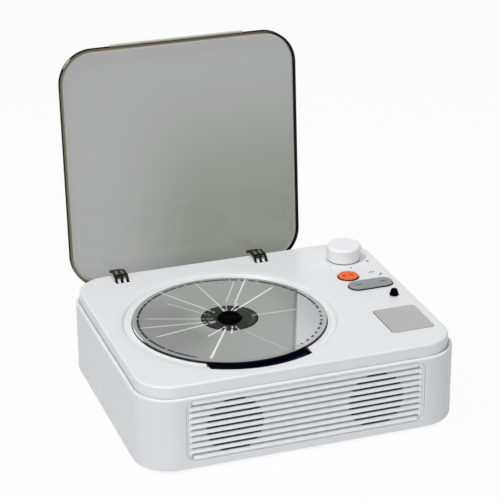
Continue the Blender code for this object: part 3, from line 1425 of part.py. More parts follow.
def tact_switch(name, x, y, top):
    """A small push switch on the control board, with its plunger."""
    half = SWITCH_SIDE / 2
    low = CONTROL_TOP + GAP
    switch = box(name, (x - half, y - half, low), (x + half, y + half, low + SWITCH_BODY))
    plunger = rod(
        name + "_plunger", SWITCH_STEM_RADIUS, low + SWITCH_BODY / 2, top, (x, y),
        steps=SMALL_ROUND_STEPS, tool=True,
    )
    join(switch, plunger)
    finish(switch, "black")


def receiver_window():
    """The black domed window of the remote control's receiver, with its stem to the board."""
    base = DECK_HEIGHT + GAP
    flange = base + EYE_FLANGE_THICK
    top = base + EYE_HEIGHT
    straight = top - EYE_RADIUS
    dome = [
        (EYE_RADIUS * math.sin(i * math.pi / 2 / DOME_STEPS),
         straight + EYE_RADIUS * math.cos(i * math.pi / 2 / DOME_STEPS))
        for i in range(DOME_STEPS + 1)
    ]
    eye = turned(
        "ir_receiver",
        dome + [
            (EYE_RADIUS, flange),
            (EYE_FLANGE_RADIUS, flange),
            (EYE_FLANGE_RADIUS, base),
            (EYE_STEM_RADIUS, base),
            (EYE_STEM_RADIUS, CONTROL_TOP + GAP),
            (0, CONTROL_TOP + GAP),
        ],
        (EYE_X, EYE_Y, 0),
    )
    finish(eye, "black")


def badge_plate():
    """The bare silver plate in its shallow recess."""
    low = DECK_HEIGHT - BADGE_RECESS + GAP
    badge = rounded_box(
        "badge_plate", (BADGE_LEFT, BADGE_FRONT, low),
        (BADGE_RIGHT, BADGE_BACK, low + BADGE_THICK), BADGE_CORNER,
    )
    finish(badge, "silver")


def rib_outline(pitch, low, back, root):
    """The side view of the ribbed plate in (Y, Z): a flat back and half-round ribs in front."""
    points = [(back, low), (back, low + pitch * RIB_COUNT)]
    for i in reversed(range(RIB_COUNT)):
        middle = low + pitch * (i + 1 / 2)
        for j in range(RIB_STEPS + 1):
            angle = math.pi * j / RIB_STEPS
            points.append(
                (root - RIB_HEIGHT * math.sin(angle), middle + pitch / 2 * math.cos(angle))
            )
        if i:
            points.pop()
    return points


def grille_panel():
    """The ribbed panel in its window, with the slots over the speakers and its side tabs."""
    low = (GRILLE_LEFT + GAP, GRILLE_LOW + GAP)
    high = (GRILLE_RIGHT - GAP, GRILLE_HIGH - GAP)
    front = SHELL_FRONT + GRILLE_SET_BACK
    root = front + RIB_HEIGHT
    back = root + GRILLE_PLATE
    pitch = (high[1] - low[1]) / RIB_COUNT
    panel = rounded_box(
        "grille_panel", (low[0], root, low[1]), (high[0], back, high[1]),
        GRILLE_CORNER - GAP, up="Y",
    )
    ribs = plate(
        "ribs", rib_outline(pitch, low[1], root + GRILLE_PLATE / 2, root),
        low[0] + GRILLE_SIDE_BORDER, high[0] - GRILLE_SIDE_BORDER, up="X", tool=True,
    )
    shape = rounded_box(
        "rib_field",
        (low[0] + GRILLE_SIDE_BORDER / 2, front - OVERRUN, low[1]),
        (high[0] - GRILLE_SIDE_BORDER / 2, back, high[1]),
        GRILLE_CORNER - GAP, up="Y", tool=True,
    )
    keep(ribs, shape)
    join(panel, ribs)
    slots = []
    for x in SPEAKER_PLACES.values():
        for i in range(1, RIB_COUNT):
            z = low[1] + pitch * i
            off = abs(z - SPEAKER_Z)
            if off >= SLOT_CIRCLE:
                continue
            half = math.sqrt(SLOT_CIRCLE ** 2 - off ** 2)
            slots.append(
                (
                    (x - half, front - OVERRUN, z - SLOT_HEIGHT / 2),
                    (x + half, back + OVERRUN, z + SLOT_HEIGHT / 2),
                )
            )
    cut(panel, boxes("grille_slots", slots))
    inside = SHELL_FRONT + SHELL_WALL + GAP
    for side, x in (("left", GRILLE_LEFT), ("right", GRILLE_RIGHT)):
        tab = box(
            f"grille_tab_{side}",
            (x - GRILLE_TAB_WIDTH, inside, SPEAKER_Z - GRILLE_TAB_HEIGHT / 2),
            (x + GRILLE_TAB_WIDTH, inside + GRILLE_TAB_THICK, SPEAKER_Z + GRILLE_TAB_HEIGHT / 2),
            tool=True,
        )
        inward = 1 if side == "left" else -1
        neck_x = sorted((x + inward * GRILLE_NECK_INSET, x + inward * GRILLE_TAB_WIDTH))
        neck = box(
            f"grille_neck_{side}",
            (neck_x[0], back - GRILLE_PLATE / 2, SPEAKER_Z - GRILLE_TAB_HEIGHT / 2),
            (neck_x[1], inside + GRILLE_TAB_THICK / 2, SPEAKER_Z + GRILLE_TAB_HEIGHT / 2),
            tool=True,
        )
        join(panel, tab, neck)
    finish(panel, "white")


def speaker(side, x):
    """One speaker facing the grille: basket, paper cone and magnet."""
    where = (x, SPEAKER_FRONT, SPEAKER_Z)
    inner_front = BASKET_RADIUS - BASKET_LIP
    inner_back = BASKET_BACK_RADIUS - BASKET_WALL
    basket = turned(
        f"speaker_basket_{side}",
        [
            (inner_front, 0),
            (inner_back, BASKET_DEPTH - BASKET_WALL),
            (BASKET_HOLE, BASKET_DEPTH - BASKET_WALL),
            (BASKET_HOLE, BASKET_DEPTH),
            (BASKET_BACK_RADIUS, BASKET_DEPTH),
            (inner_front + BASKET_WALL, BASKET_FLANGE),
            (BASKET_RADIUS, BASKET_FLANGE),
            (BASKET_RADIUS, 0),
        ],
        where, closed=True, up="Y",
    )
    finish(basket, "steel")
    slope = (inner_front - inner_back) / (BASKET_DEPTH - BASKET_WALL)
    rim = inner_front - CONE_SET_BACK * slope - GAP - CONE_THICK / 2
    cone = turned(
        f"speaker_cone_{side}",
        [
            (0, CONE_DEPTH - CONE_THICK),
            (CONE_NECK, CONE_DEPTH + CONE_THICK),
            (rim, CONE_SET_BACK + CONE_THICK),
            (rim, CONE_SET_BACK),
            (CONE_NECK, CONE_DEPTH),
            (0, CONE_DEPTH - CONE_THICK - CONE_THICK),
        ],
        where, up="Y",
    )
    finish(cone, "paper")
    magnet = turned(
        f"speaker_magnet_{side}",
        [
            (0, MAGNET_DEPTH),
            (MAGNET_RADIUS, MAGNET_DEPTH),
            (MAGNET_RADIUS, 0),
            (0, 0),
        ],
        (x, SPEAKER_FRONT + BASKET_DEPTH + GAP, SPEAKER_Z), up="Y",
    )
    finish(magnet, "steel")


def boards():
    """The main board on its posts and the control board on the deck's pegs."""
    main = box(
        "main_pcb", (MAIN_LEFT, MAIN_FRONT, MAIN_BOTTOM), (MAIN_RIGHT, MAIN_BACK, MAIN_TOP)
    )
    finish(main, "board")
    control = box(
        "control_pcb", (CONTROL_LEFT, CONTROL_FRONT, CONTROL_TOP - BOARD_THICK),
        (CONTROL_RIGHT, CONTROL_BACK, CONTROL_TOP),
    )
    for i, at in enumerate(PEG_PLACES):
        hole = rod(
            f"peg_hole_{i}", PEG_TIP_RADIUS + GAP, CONTROL_TOP - BOARD_THICK - OVERRUN,
            CONTROL_TOP + OVERRUN, at, steps=SMALL_ROUND_STEPS, tool=True,
        )
        cut(control, hole)
    finish(control, "board")


def sockets():
    """The power inlet and the headphone jack at the back of the main board."""
    low = MAIN_TOP + GAP
    back = SHELL_BACK - SOCKET_SET_BACK
    usb = rounded_box(
        "usb_socket", (USB_X - USB_WIDTH / 2, back - USB_DEPTH, low),
        (USB_X + USB_WIDTH / 2, back, low + USB_HEIGHT), USB_HEIGHT / 2 - USB_WALL, up="Y",
    )
    mouth = rounded_box(
        "usb_mouth",
        (USB_X - USB_WIDTH / 2 + USB_WALL, back - USB_MOUTH_DEPTH, low + USB_WALL),
        (USB_X + USB_WIDTH / 2 - USB_WALL, back + OVERRUN, low + USB_HEIGHT - USB_WALL),
        USB_HEIGHT / 2 - USB_WALL - USB_WALL, up="Y", tool=True,
    )
    cut(usb, mouth)
    finish(usb, "steel")
    body_back = SHELL_BACK - SHELL_WALL - GAP
    jack = box(
        "headphone_jack", (JACK_X - JACK_SIDE / 2, body_back - JACK_DEPTH, low),
        (JACK_X + JACK_SIDE / 2, body_back, low + JACK_SIDE),
    )
    barrel = rod(
        "jack_barrel", JACK_BARREL_RADIUS, body_back - JACK_BARREL_RADIUS, back,
        (JACK_X, jack_height()), up="Y", tool=True,
    )
    bore = rod(
        "jack_bore", JACK_BORE_RADIUS, back - JACK_BORE_DEPTH, back + OVERRUN,
        (JACK_X, jack_height()), up="Y", steps=SMALL_ROUND_STEPS, tool=True,
    )
    join(jack, barrel)
    cut(jack, bore)
    finish(jack, "black")


def battery():
    """The flat rechargeable pack on the floor."""
    low = FLOOR_TOP + GAP
    pack = rounded_box(
        "battery_pack",
        (BATTERY_X - BATTERY_WIDTH / 2, BATTERY_Y - BATTERY_DEPTH / 2, low),
        (BATTERY_X + BATTERY_WIDTH / 2, BATTERY_Y + BATTERY_DEPTH / 2, low + BATTERY_HEIGHT),
        BATTERY_ROUND, top=BATTERY_ROUND / 2,
    )
    finish(pack, "wrap")


def wire(name, start, end):
    """A thin lead that leaves one piece level, runs over in a smooth bow and reaches the other."""
    start = Vector(start)
    end = Vector(end)
    points = []
    for i in range(WIRE_STEPS + 1):
        t = i / WIRE_STEPS
        smooth = t * t * (3 - 2 * t)
        point = start.lerp(end, t)
        point.z = start.z + (end.z - start.z) * smooth + WIRE_RISE * math.sin(math.pi * t)
        points.append(point)
    data = bpy.data.curves.new(name, "CURVE")
    data.dimensions = "3D"
    data.bevel_depth = WIRE_RADIUS
    data.bevel_resolution = 1
    data.use_fill_caps = True
    line = data.splines.new("POLY")
    line.points.add(len(points) - 1)
    for slot, point in zip(line.points, points):
        slot.co = (*point, 1)
    finish(place(name, data, (0, 0, 0)), "wire")


def wires():
    """The leads of the speakers and of the battery to the main board."""
    clear = WIRE_RADIUS + GAP
    behind = SPEAKER_FRONT + BASKET_DEPTH + GAP + MAGNET_DEPTH + clear
    board_edge = MAIN_FRONT - clear
    level = MAIN_BOTTOM + BOARD_THICK / 2
    left_end = (MAIN_LEFT + MAIN_POST_INSET, board_edge, level)
    left_x = SPEAKER_PLACES["left"] + MAGNET_RADIUS / 2
    wire("speaker_wire_left", (left_x, behind, SPEAKER_Z), left_end)
    right_x = SPEAKER_PLACES["right"]
    wire("speaker_wire_right", (right_x, behind, SPEAKER_Z), (right_x, board_edge, level))
    cell_edge = BATTERY_X + BATTERY_WIDTH / 2 + clear
    wire(
        "battery_wire", (cell_edge, BATTERY_Y, FLOOR_TOP + BATTERY_HEIGHT / 2),
        (MAIN_LEFT - clear, BATTERY_Y, level),
    )


def feet_and_screws():
    """The rubber feet in their recesses and the screws that hold the deck."""
    top = FOOT_PROUD + FOOT_RECESS - GAP
    for i, at in enumerate(corners_of(FOOT_X, FOOT_Y)):
        foot = turned(
            f"foot_{i + 1}",
            [
                (0, top),
                (FOOT_RADIUS, top),
                (FOOT_RADIUS, FOOT_ROUND),
                (FOOT_RADIUS - FOOT_ROUND, 0),
                (0, 0),
            ],
            (*at, 0),
        )
        finish(foot, "rubber")
    head_top = POST_SHOULDER - GAP
    for i, at in enumerate(corners_of(POST_X, POST_Y)):
        screw = turned(
            f"case_screw_{i + 1}",
            [
                (0, POST_TOP + SCREW_GRIP),
                (SCREW_SHANK_RADIUS, POST_TOP + SCREW_GRIP),
                (SCREW_SHANK_RADIUS, head_top),
                (SCREW_HEAD_RADIUS, head_top),
                (SCREW_HEAD_RADIUS, head_top - SCREW_HEAD),
                (0, head_top - SCREW_HEAD),
            ],
            (*at, 0), steps=SMALL_ROUND_STEPS,
        )
        finish(screw, "steel")


def main():
    """Builds every piece."""
    lower_shell()
    top_deck()
    grille_panel()
    disc_tray()
    feet_and_screws()
    mech_chassis()
    dampers()
    spindle()
    compact_disc()
    sled()
    gears()
    lid_and_hinges()
    volume()
    play_button()
    skip_rocker()
    receiver_window()
    badge_plate()
    for side, x in SPEAKER_PLACES.items():
        speaker(side, x)
    boards()
    sockets()
    battery()
    wires()


main()
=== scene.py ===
import math

import bmesh
import bpy
from mathutils import Matrix, Vector


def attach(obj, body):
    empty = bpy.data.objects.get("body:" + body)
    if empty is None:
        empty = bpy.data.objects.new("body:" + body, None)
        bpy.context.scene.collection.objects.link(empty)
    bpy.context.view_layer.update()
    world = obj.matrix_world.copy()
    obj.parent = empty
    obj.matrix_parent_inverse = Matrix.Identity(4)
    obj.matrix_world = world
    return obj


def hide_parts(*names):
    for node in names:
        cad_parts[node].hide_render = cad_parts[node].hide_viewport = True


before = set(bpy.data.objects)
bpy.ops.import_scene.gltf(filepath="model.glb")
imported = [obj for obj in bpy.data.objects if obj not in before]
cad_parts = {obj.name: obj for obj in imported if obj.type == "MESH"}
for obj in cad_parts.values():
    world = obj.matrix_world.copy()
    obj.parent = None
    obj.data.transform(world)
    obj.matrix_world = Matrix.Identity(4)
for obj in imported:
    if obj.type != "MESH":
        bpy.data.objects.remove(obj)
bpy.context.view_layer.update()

# The looks of the portable disc player. Shapes are written in mm, in the frame of the CAD.
MM = 0.001
LEAN = math.radians(3.9)
HINGE_Y, HINGE_Z, LID_X = 76.8, 47.6, -18.9
HINGES = {"left": -68.3, "right": 26.2}
DISC = (-21.4, -5.4)
CASE = (101.2, 83.6, 23.8)
DECK_TOP = 55.7
SPEAKERS = {"left": -44.45, "right": 44.45}
SPEAKER_Z = 25.75
GRILLE_MIDDLE = (0.6, 26.45)
PRONG_PITCH = 3.7
# How far behind the disc's axis the lens and the middle of its slot lie
LENS_BACK, SLOT_BACK = 24.2, 40.2

# Where the controls, the screws and the feet stand, in (X, Y), and the rear sockets, in (X, Z)
KNOB, PLAY, ROCKER = (78.0, 54.0), (70.3, 26.6), (79.0, 10.3)
EYE, BADGE = (86.9, -9.0), (78.5, -42.7)
SCREW, FOOT = (86.0, 67.5), (74.0, 58.0)
USB, JACK = (34.0, 11.55), (56.0, 13.2)
CORNERS = ((-1, -1), (-1, 1), (1, -1), (1, 1))


# Shapes: each is a list of points and a list of faces, and may name a material's place

def rounded_rect(half_x, half_y, corner, steps, at=(0.0, 0.0)):
    """The outline of a rectangle with round corners, counter-clockwise."""
    points = []
    for i, (sx, sy) in enumerate(((1, -1), (1, 1), (-1, 1), (-1, -1))):
        cx = at[0] + sx * (half_x - corner)
        cy = at[1] + sy * (half_y - corner)
        for k in range(steps + 1):
            turn = math.pi / 2 * (i - 1 + k / steps)
            points.append((cx + corner * math.cos(turn), cy + corner * math.sin(turn)))
    return points


def arc(middle, radius, start, end, steps):
    """Points along an arc, from one angle to another."""
    return [
        (middle[0] + radius * math.cos(start + (end - start) * i / steps),
         middle[1] + radius * math.sin(start + (end - start) * i / steps))
        for i in range(steps + 1)
    ]


def circle(radius, steps, at=(0.0, 0.0)):
    """The outline of a circle."""
    return arc(at, radius, 0.0, 2 * math.pi, steps)[:-1]


def level(outline, z):
    """An outline laid at one height."""
    return [(x, y, z) for x, y in outline]


def upright(outline, y):
    """An outline of (x, z) points stood up at one depth."""
    return [(x, y, z) for x, z in outline]


def across(outline, x):
    """An outline of (y, z) points stood across the X axis."""
    return [(x, y, z) for y, z in outline]


def loft(rings, caps=True, closed=False):
    """A skin over rings of the same number of points."""
    count = len(rings[0])
    verts = [tuple(p) for ring in rings for p in ring]
    pairs = [(i, i + 1) for i in range(len(rings) - 1)]
    if closed:
        pairs.append((len(rings) - 1, 0))
    faces = []
    for a, b in pairs:
        for i in range(count):
            j = (i + 1) % count
            faces.append((a * count + i, a * count + j, b * count + j, b * count + i))
    if caps and not closed:
        faces.append(tuple(range(count)))
        last = (len(rings) - 1) * count
        faces.append(tuple(range(last, last + count)))
    return verts, faces


def turned(profile, steps, closed=False):
    """A profile of (radius, height) points turned round the Z axis."""
    verts, faces, rows = [], [], []
    for radius, height in profile:
        if radius < 1e-6:
            rows.append([len(verts)] * steps)
            verts.append((0.0, 0.0, height))
            continue
        rows.append(list(range(len(verts), len(verts) + steps)))
        verts += level(circle(radius, steps), height)
    pairs = list(zip(rows, rows[1:]))
    if closed:
        pairs.append((rows[-1], rows[0]))
    for a, b in pairs:
        for i in range(steps):
            j = (i + 1) % steps
            face = []
            for v in (a[i], a[j], b[j], b[i]):
                if v not in face:
                    face.append(v)
            if len(face) > 2:
                faces.append(tuple(face))
    return verts, faces


def filleted(line, steps, closed=False):
    """A line of points, with an arc at each one that gives a radius as its third number."""
    out = []
    last = len(line) - 1
    for i, point in enumerate(line):
        here = Vector(point[:2])
        if len(point) == 2 or (not closed and i in (0, last)):
            out.append(tuple(here))
            continue
        before = (Vector(line[i - 1][:2]) - here).normalized()
        after = (Vector(line[(i + 1) % len(line)][:2]) - here).normalized()
        angle = before.angle(after)
        reach = point[2] / math.tan(angle / 2)
        middle = here + (before + after).normalized() * point[2] / math.sin(angle / 2)
        first = here + before * reach - middle
        final = here + after * reach - middle
        turn = math.pi - angle
        for k in range(steps + 1):
            t = k / steps
            spoke = (first * math.sin((1 - t) * turn) + final * math.sin(t * turn)) / math.sin(turn)
            out.append(tuple(middle + spoke))
    return out


def moved(shape, matrix):
    """The shape under a matrix in mm."""
    return [tuple(matrix @ Vector(v)) for v in shape[0]], *shape[1:]


def shifted(shape, x, y, z):
    """The shape moved by a distance."""
    return moved(shape, Matrix.Translation((x, y, z)))


def paint(shape, place):
    """The shape with all its faces in one material's place."""
    return shape[0], shape[1], place


def quarter(steps):
    """The sine and cosine of each step of a quarter turn."""
    return [
        (math.sin(math.pi / 2 * k / steps), math.cos(math.pi / 2 * k / steps))
        for k in range(steps + 1)
    ]


def slab(outline, low, high, edge=0.0, both=False, steps=3):
    """A flat plate of a growing outline, its top edge rounded, and its bottom one too."""
    rings = [level(outline(0), low)]
    if both:
        rings = [
            level(outline(-edge * (1 - s)), low + edge * (1 - c)) for s, c in quarter(steps)[:-1]
        ]
        rings.append(level(outline(0), low + edge))
    if not edge:
        return loft(rings + [level(outline(0), high)])
    rings += [
        level(outline(-edge * (1 - c)), high - edge + edge * s) for s, c in quarter(steps)
    ]
    return loft(rings)


def round_box(low, high, corner=0.4, edge=0.3, steps=4):
    """A box with round upright corners and softened top and bottom edges."""
    half_x, half_y = (high[0] - low[0]) / 2, (high[1] - low[1]) / 2
    at = ((high[0] + low[0]) / 2, (high[1] + low[1]) / 2)

    def outline(grow):
        return rounded_rect(half_x + grow, half_y + grow, max(corner + grow, 0.02), steps, at)

    return slab(outline, low[2], high[2], edge, True)


def growing(half_x, half_y, corner, steps, at):
    """A growing outline: a round-cornered rectangle drawn out by the distance that it is given."""
    return lambda g: rounded_rect(half_x + g, half_y + g, corner + g, steps, at)


def growing_circle(radius, steps, at):
    """A growing outline: a circle drawn out by the distance that it is given."""
    return lambda g: circle(radius + g, steps, at)


def pit(outline, low, top, flare):
    """A cutter of a growing outline that opens with a round edge at its top."""
    rings = [level(outline(0), low)]
    rings += [level(outline(flare * (1 - c)), top - flare + flare * s) for s, c in quarter(5)]
    return loft(rings + [level(outline(flare), top + 1.5)])


def mouth(outline, inside, flare, steps):
    """A cutter through the front or rear wall that opens with a round edge outside."""
    side = math.copysign(1.0, inside)
    rings = [upright(outline(0), inside)]
    rings += [
        upright(outline(flare * (1 - c)), side * (CASE[1] - flare * (1 - s)))
        for s, c in quarter(steps)
    ]
    return loft(rings + [upright(outline(flare), side * 85.0)])


def spun(line, at, steps, fine=0, closed=False):
    """A profile, with its arcs in so many steps, turned about an upright axis at a point."""
    profile = filleted(line, fine, closed) if fine else line
    return shifted(turned(profile, steps, closed), *at, 0)


def about_pin(at):
    """The matrix that lays an upright axis along the hinge pin at this X."""
    return Matrix.Translation((at, HINGE_Y, HINGE_Z)) @ Matrix.Rotation(math.pi / 2, 4, "Y")


# Pieces

def raw(name, *shapes):
    """An object of these shapes, in metres, with its faces turned outwards."""
    shape = bmesh.new()
    for entry in shapes:
        place = entry[2] if len(entry) > 2 else 0
        made = [shape.verts.new(Vector(v) * MM) for v in entry[0]]
        for face in entry[1]:
            shape.faces.new([made[i] for i in face]).material_index = place
    bmesh.ops.remove_doubles(shape, verts=shape.verts, dist=2e-7)
    bmesh.ops.dissolve_degenerate(shape, edges=shape.edges, dist=2e-7)
    bmesh.ops.recalc_face_normals(shape, faces=shape.faces)
    mesh = bpy.data.meshes.new(name)
    shape.to_mesh(mesh)
    shape.free()
    obj = bpy.data.objects.new(name, mesh)
    bpy.context.scene.collection.objects.link(obj)
    return obj


def change(obj, operation, *shapes):
    """Cuts shapes out of the piece, or joins them to it, for good."""
    tools = [raw("tool", shape) for shape in shapes]
    for tool in tools:
        step = obj.modifiers.new("step", "BOOLEAN")
        step.operation = operation
        step.solver = "EXACT"
        step.object = tool
    bpy.context.view_layer.update()
    graph = bpy.context.evaluated_depsgraph_get()
    mesh = bpy.data.meshes.new_from_object(obj.evaluated_get(graph))
    obj.modifiers.clear()
    obj.data = mesh
    for tool in tools:
        bpy.data.objects.remove(tool, do_unlink=True)
    return obj


def dress(obj, materials, slot, node=None, body="housing", sharp=36.0):
    """Gives the piece its shading and materials, and puts it on its body in its node's place."""
    for i, material in enumerate(materials if isinstance(materials, list) else [materials]):
        if i < len(obj.data.materials):
            obj.data.materials[i] = material
        else:
            obj.data.materials.append(material)
    obj.data.shade_smooth()
    obj.data.set_sharp_from_angle(angle=math.radians(sharp))
    weigh = obj.modifiers.new("normals", "WEIGHTED_NORMAL")
    weigh.keep_sharp = True
    weigh.weight = 90
    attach(obj, body)
    if node:
        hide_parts(node)


# Materials

class Nodes:
    """Short calls that build the nodes of one material, or of the world."""

    def __init__(self, owner):
        if isinstance(owner, str):
            owner = bpy.data.materials.new(owner)
        owner.use_nodes = True
        self.material = owner
        self.tree = owner.node_tree
        self.shader = self.tree.nodes.get("Principled BSDF")
        if self.shader:
            self.place = self.add("ShaderNodeTexCoord").outputs["Object"]

    def add(self, kind, inputs=(), **settings):
        """A node with these settings, its inputs fed by name or by place."""
        node = self.tree.nodes.new(kind)
        for key, value in settings.items():
            setattr(node, key, value)
        for key, value in dict(inputs).items():
            self.feed(node.inputs[key], value)
        return node

    def feed(self, socket, value):
        if isinstance(value, bpy.types.NodeSocket):
            self.tree.links.new(value, socket)
        else:
            socket.default_value = value

    def math(self, operation, *values, clamp=False):
        given = enumerate(values)
        return self.add("ShaderNodeMath", given, operation=operation, use_clamp=clamp).outputs[0]

    def times(self, value, *others):
        for other in others:
            value = self.math("MULTIPLY", value, other)
        return value

    def most(self, value, *others):
        for other in others:
            value = self.math("MAXIMUM", value, other)
        return value

    def off(self, value, middle):
        """How far the value is from the middle."""
        return self.math("ABSOLUTE", self.math("SUBTRACT", value, middle))

    def vector(self, operation, *values):
        node = self.add("ShaderNodeVectorMath", enumerate(values), operation=operation)
        scalar = operation in ("DOT_PRODUCT", "LENGTH", "DISTANCE")
        return node.outputs["Value" if scalar else "Vector"]

    def parts(self, vector):
        return tuple(self.add("ShaderNodeSeparateXYZ", {0: vector}).outputs)

    def noise(self, scale, detail=2.0, rough=0.5, stretch=None):
        where = self.vector("MULTIPLY", self.place, stretch) if stretch else self.place
        given = {"Vector": where, "Scale": scale, "Detail": detail, "Roughness": rough}
        return self.add("ShaderNodeTexNoise", given).outputs[0]

    def spread(self, value, low, high, to_low=0.0, to_high=1.0, smooth=False):
        given = {"Value": value, "From Min": low, "From Max": high, "To Min": to_low,
                 "To Max": to_high}
        kind = "SMOOTHSTEP" if smooth else "LINEAR"
        node = self.add("ShaderNodeMapRange", given, interpolation_type=kind, clamp=True)
        return node.outputs[0]

    def ease(self, value, low, high, to_low=0.0, to_high=1.0):
        return self.spread(value, low, high, to_low, to_high, True)

    def near(self, value, middle, inner, outer, smooth=False):
        """1 within the inner distance of the middle, 0 beyond the outer one."""
        return self.spread(self.off(value, middle), inner, outer, 1.0, 0.0, smooth)

    def mix(self, factor, a, b):
        """Mixes two colours, where a plain number stands for a grey."""
        colours = []
        for given in (a, b):
            if not isinstance(given, bpy.types.NodeSocket):
                given = (*((given,) * 3 if isinstance(given, float) else given), 1.0)
            colours.append(given)
        inputs = {0: factor, 6: colours[0], 7: colours[1]}
        return self.add("ShaderNodeMix", inputs, data_type="RGBA").outputs[2]

    def bump(self, height, distance):
        given = {"Height": height, "Distance": distance * MM, "Strength": 1.0}
        return self.add("ShaderNodeBump", given).outputs[0]

    def set(self, **inputs):
        """Feeds the main shader's inputs, and gives the material back."""
        for name, value in inputs.items():
            socket = self.shader.inputs[name.replace("_", " ")]
            if socket.type == "RGBA" and not isinstance(value, bpy.types.NodeSocket):
                value = (*value, 1.0)
            self.feed(socket, value)
        return self.material

    def finish(self, colour, gloss, grain, **more):
        """A colour, an uneven gloss (its noise, low and high) and a grain (its noise and depth)."""
        *wide, low, high = gloss
        *fine, depth = grain
        return self.set(
            Base_Color=colour,
            Roughness=self.spread(self.noise(*wide), 0.3, 0.7, low, high),
            Normal=self.bump(self.noise(*fine), depth),
            **more,
        )


def shade(colour, factor):
    """A colour made lighter or darker."""
    return tuple(min(1.0, c * factor) for c in colour)


def cloudy(name, dark, pale, cloud, gloss, grain, **more):
    """A finish that wanders between two colours."""
    n = Nodes(name)
    return n.finish(n.mix(n.noise(*cloud), dark, pale), gloss, grain, **more)


def plastic(name, colour, rough=0.38, grain=0.004, spread=0.015, shine=0.5):
    """Moulded plastic: a fine grain, slow changes of colour, and faint differences of gloss."""
    return cloudy(
        name, shade(colour, 1 - spread), shade(colour, 1 + spread), (22.0, 3.0),
        (60.0, 4.0, rough - 0.035, rough + 0.035), (4200.0, 3.0, 0.6, grain),
        Specular_IOR_Level=shine,
    )


def rubber(name, colour):
    """Matt rubber with a coarse grain."""
    return cloudy(name, shade(colour, 0.85), shade(colour, 1.2), (90.0, 4.0),
                  (400.0, 2.0, 0.72, 0.86), (2600.0, 4.0, 0.7, 0.02))


def metal(name, colour, rough=0.3, stretch=(1.0, 1.0, 1.0), scale=900.0):
    """Metal with drawn or brushed lines along one direction."""
    n = Nodes(name)
    brushed = n.noise(scale, 4.0, 0.6, stretch)
    return n.set(
        Base_Color=n.mix(n.noise(35.0, 3.0), shade(colour, 0.93), shade(colour, 1.05)),
        Metallic=1.0,
        Roughness=n.spread(brushed, 0.3, 0.7, rough - 0.06, rough + 0.06),
        Normal=n.bump(brushed, 0.003),
    )


def board(name, colour):
    """A circuit board: a masked surface with lighter tracks and tinned spots."""
    n = Nodes(name)
    tracks = n.add("ShaderNodeTexVoronoi", {"Vector": n.place, "Scale": 230.0},
                   feature="DISTANCE_TO_EDGE", distance="MANHATTAN")
    spots = n.add("ShaderNodeTexVoronoi", {"Vector": n.place, "Scale": 420.0}, feature="F1")
    line = n.spread(tracks.outputs["Distance"], 0.03, 0.06, 1.0, 0.0)
    dot = n.spread(spots.outputs["Distance"], 0.16, 0.2, 1.0, 0.0)
    green = n.mix(line, colour, shade(colour, 2.1))
    return n.set(
        Base_Color=n.mix(dot, green, (0.55, 0.56, 0.55)),
        Metallic=n.math("MULTIPLY", dot, 0.8),
        Roughness=n.spread(dot, 0.0, 1.0, 0.42, 0.28),
        Normal=n.bump(n.math("ADD", line, dot), 0.03),
    )


def fabric(name, colour):
    """The black dust cloth behind the slots: a fine square weave."""
    n = Nodes(name)
    x, _, z = n.parts(n.place)
    warp = n.math("SINE", n.math("MULTIPLY", x, 9000.0))
    weft = n.math("SINE", n.math("MULTIPLY", z, 9000.0))
    weave = n.math("MULTIPLY", warp, weft)
    return n.set(
        Base_Color=n.mix(n.spread(weave, -1, 1), shade(colour, 0.6), shade(colour, 1.5)),
        Roughness=0.95,
        Normal=n.bump(weave, 0.02),
    )


WHITE = (0.82, 0.835, 0.85)
WHITE_SHELL = plastic("white_shell", (0.78, 0.80, 0.815), 0.40)
WHITE_DECK = plastic("white_deck", WHITE, 0.36)
WHITE_KNOB = plastic("white_knob", (0.90, 0.905, 0.915), 0.38)
ORANGE = plastic("orange_cap", (0.95, 0.135, 0.024), 0.40, spread=0.03, shine=0.25)
# Dark orange: the printed dot by the controls, and painted shade on the play button's stem.
ORANGE_DARK = plastic("orange_shade", (0.10, 0.012, 0.006), 0.45, spread=0.05, shine=0.2)
ORANGE_INK = plastic("orange_ink", (0.20, 0.030, 0.014), 0.45, spread=0.05, shine=0.2)
GREY = plastic("grey_cap", (0.28, 0.295, 0.30), 0.42, spread=0.03, shine=0.3)
# Near-black grey: ink for the rocker's marks, and painted shade on the rocker's stem.
GREY_INK_AND_SHADE = plastic("grey_ink", (0.012, 0.013, 0.014), 0.45, spread=0.05, shine=0.1)
DECK_INK = plastic("deck_ink", (0.045, 0.046, 0.048), 0.5, spread=0.05, shine=0.2)
FAINT_INK = plastic("faint_ink", (0.48, 0.49, 0.50), 0.5, spread=0.05)
BLACK = plastic("black_gloss", (0.002, 0.002, 0.0022), 0.25, grain=0.001, spread=0.1, shine=0.004)
BLACK_PLASTIC = plastic("black_plastic", (0.02, 0.02, 0.022), 0.42, spread=0.1)
NYLON = plastic("nylon", (0.66, 0.62, 0.52), 0.45, spread=0.03)
RUBBER = rubber("black_rubber", (0.022, 0.022, 0.023))
PAPER = rubber("cone_paper", (0.02, 0.02, 0.022))
STEEL = metal("steel", (0.56, 0.56, 0.57), 0.3, (1.0, 1.0, 0.08))
SILVER = metal("satin_silver", (0.475, 0.472, 0.472), 0.36, (0.06, 1.0, 1.0), 1400.0)
BOARD = board("board_green", (0.012, 0.10, 0.035))
CLOTH = fabric("dust_cloth", (0.008, 0.008, 0.009))
WIRE = plastic("wire_cover", (0.42, 0.02, 0.015), 0.4, spread=0.06)
WRAP = plastic("battery_wrap", (0.03, 0.12, 0.30), 0.3, spread=0.06)


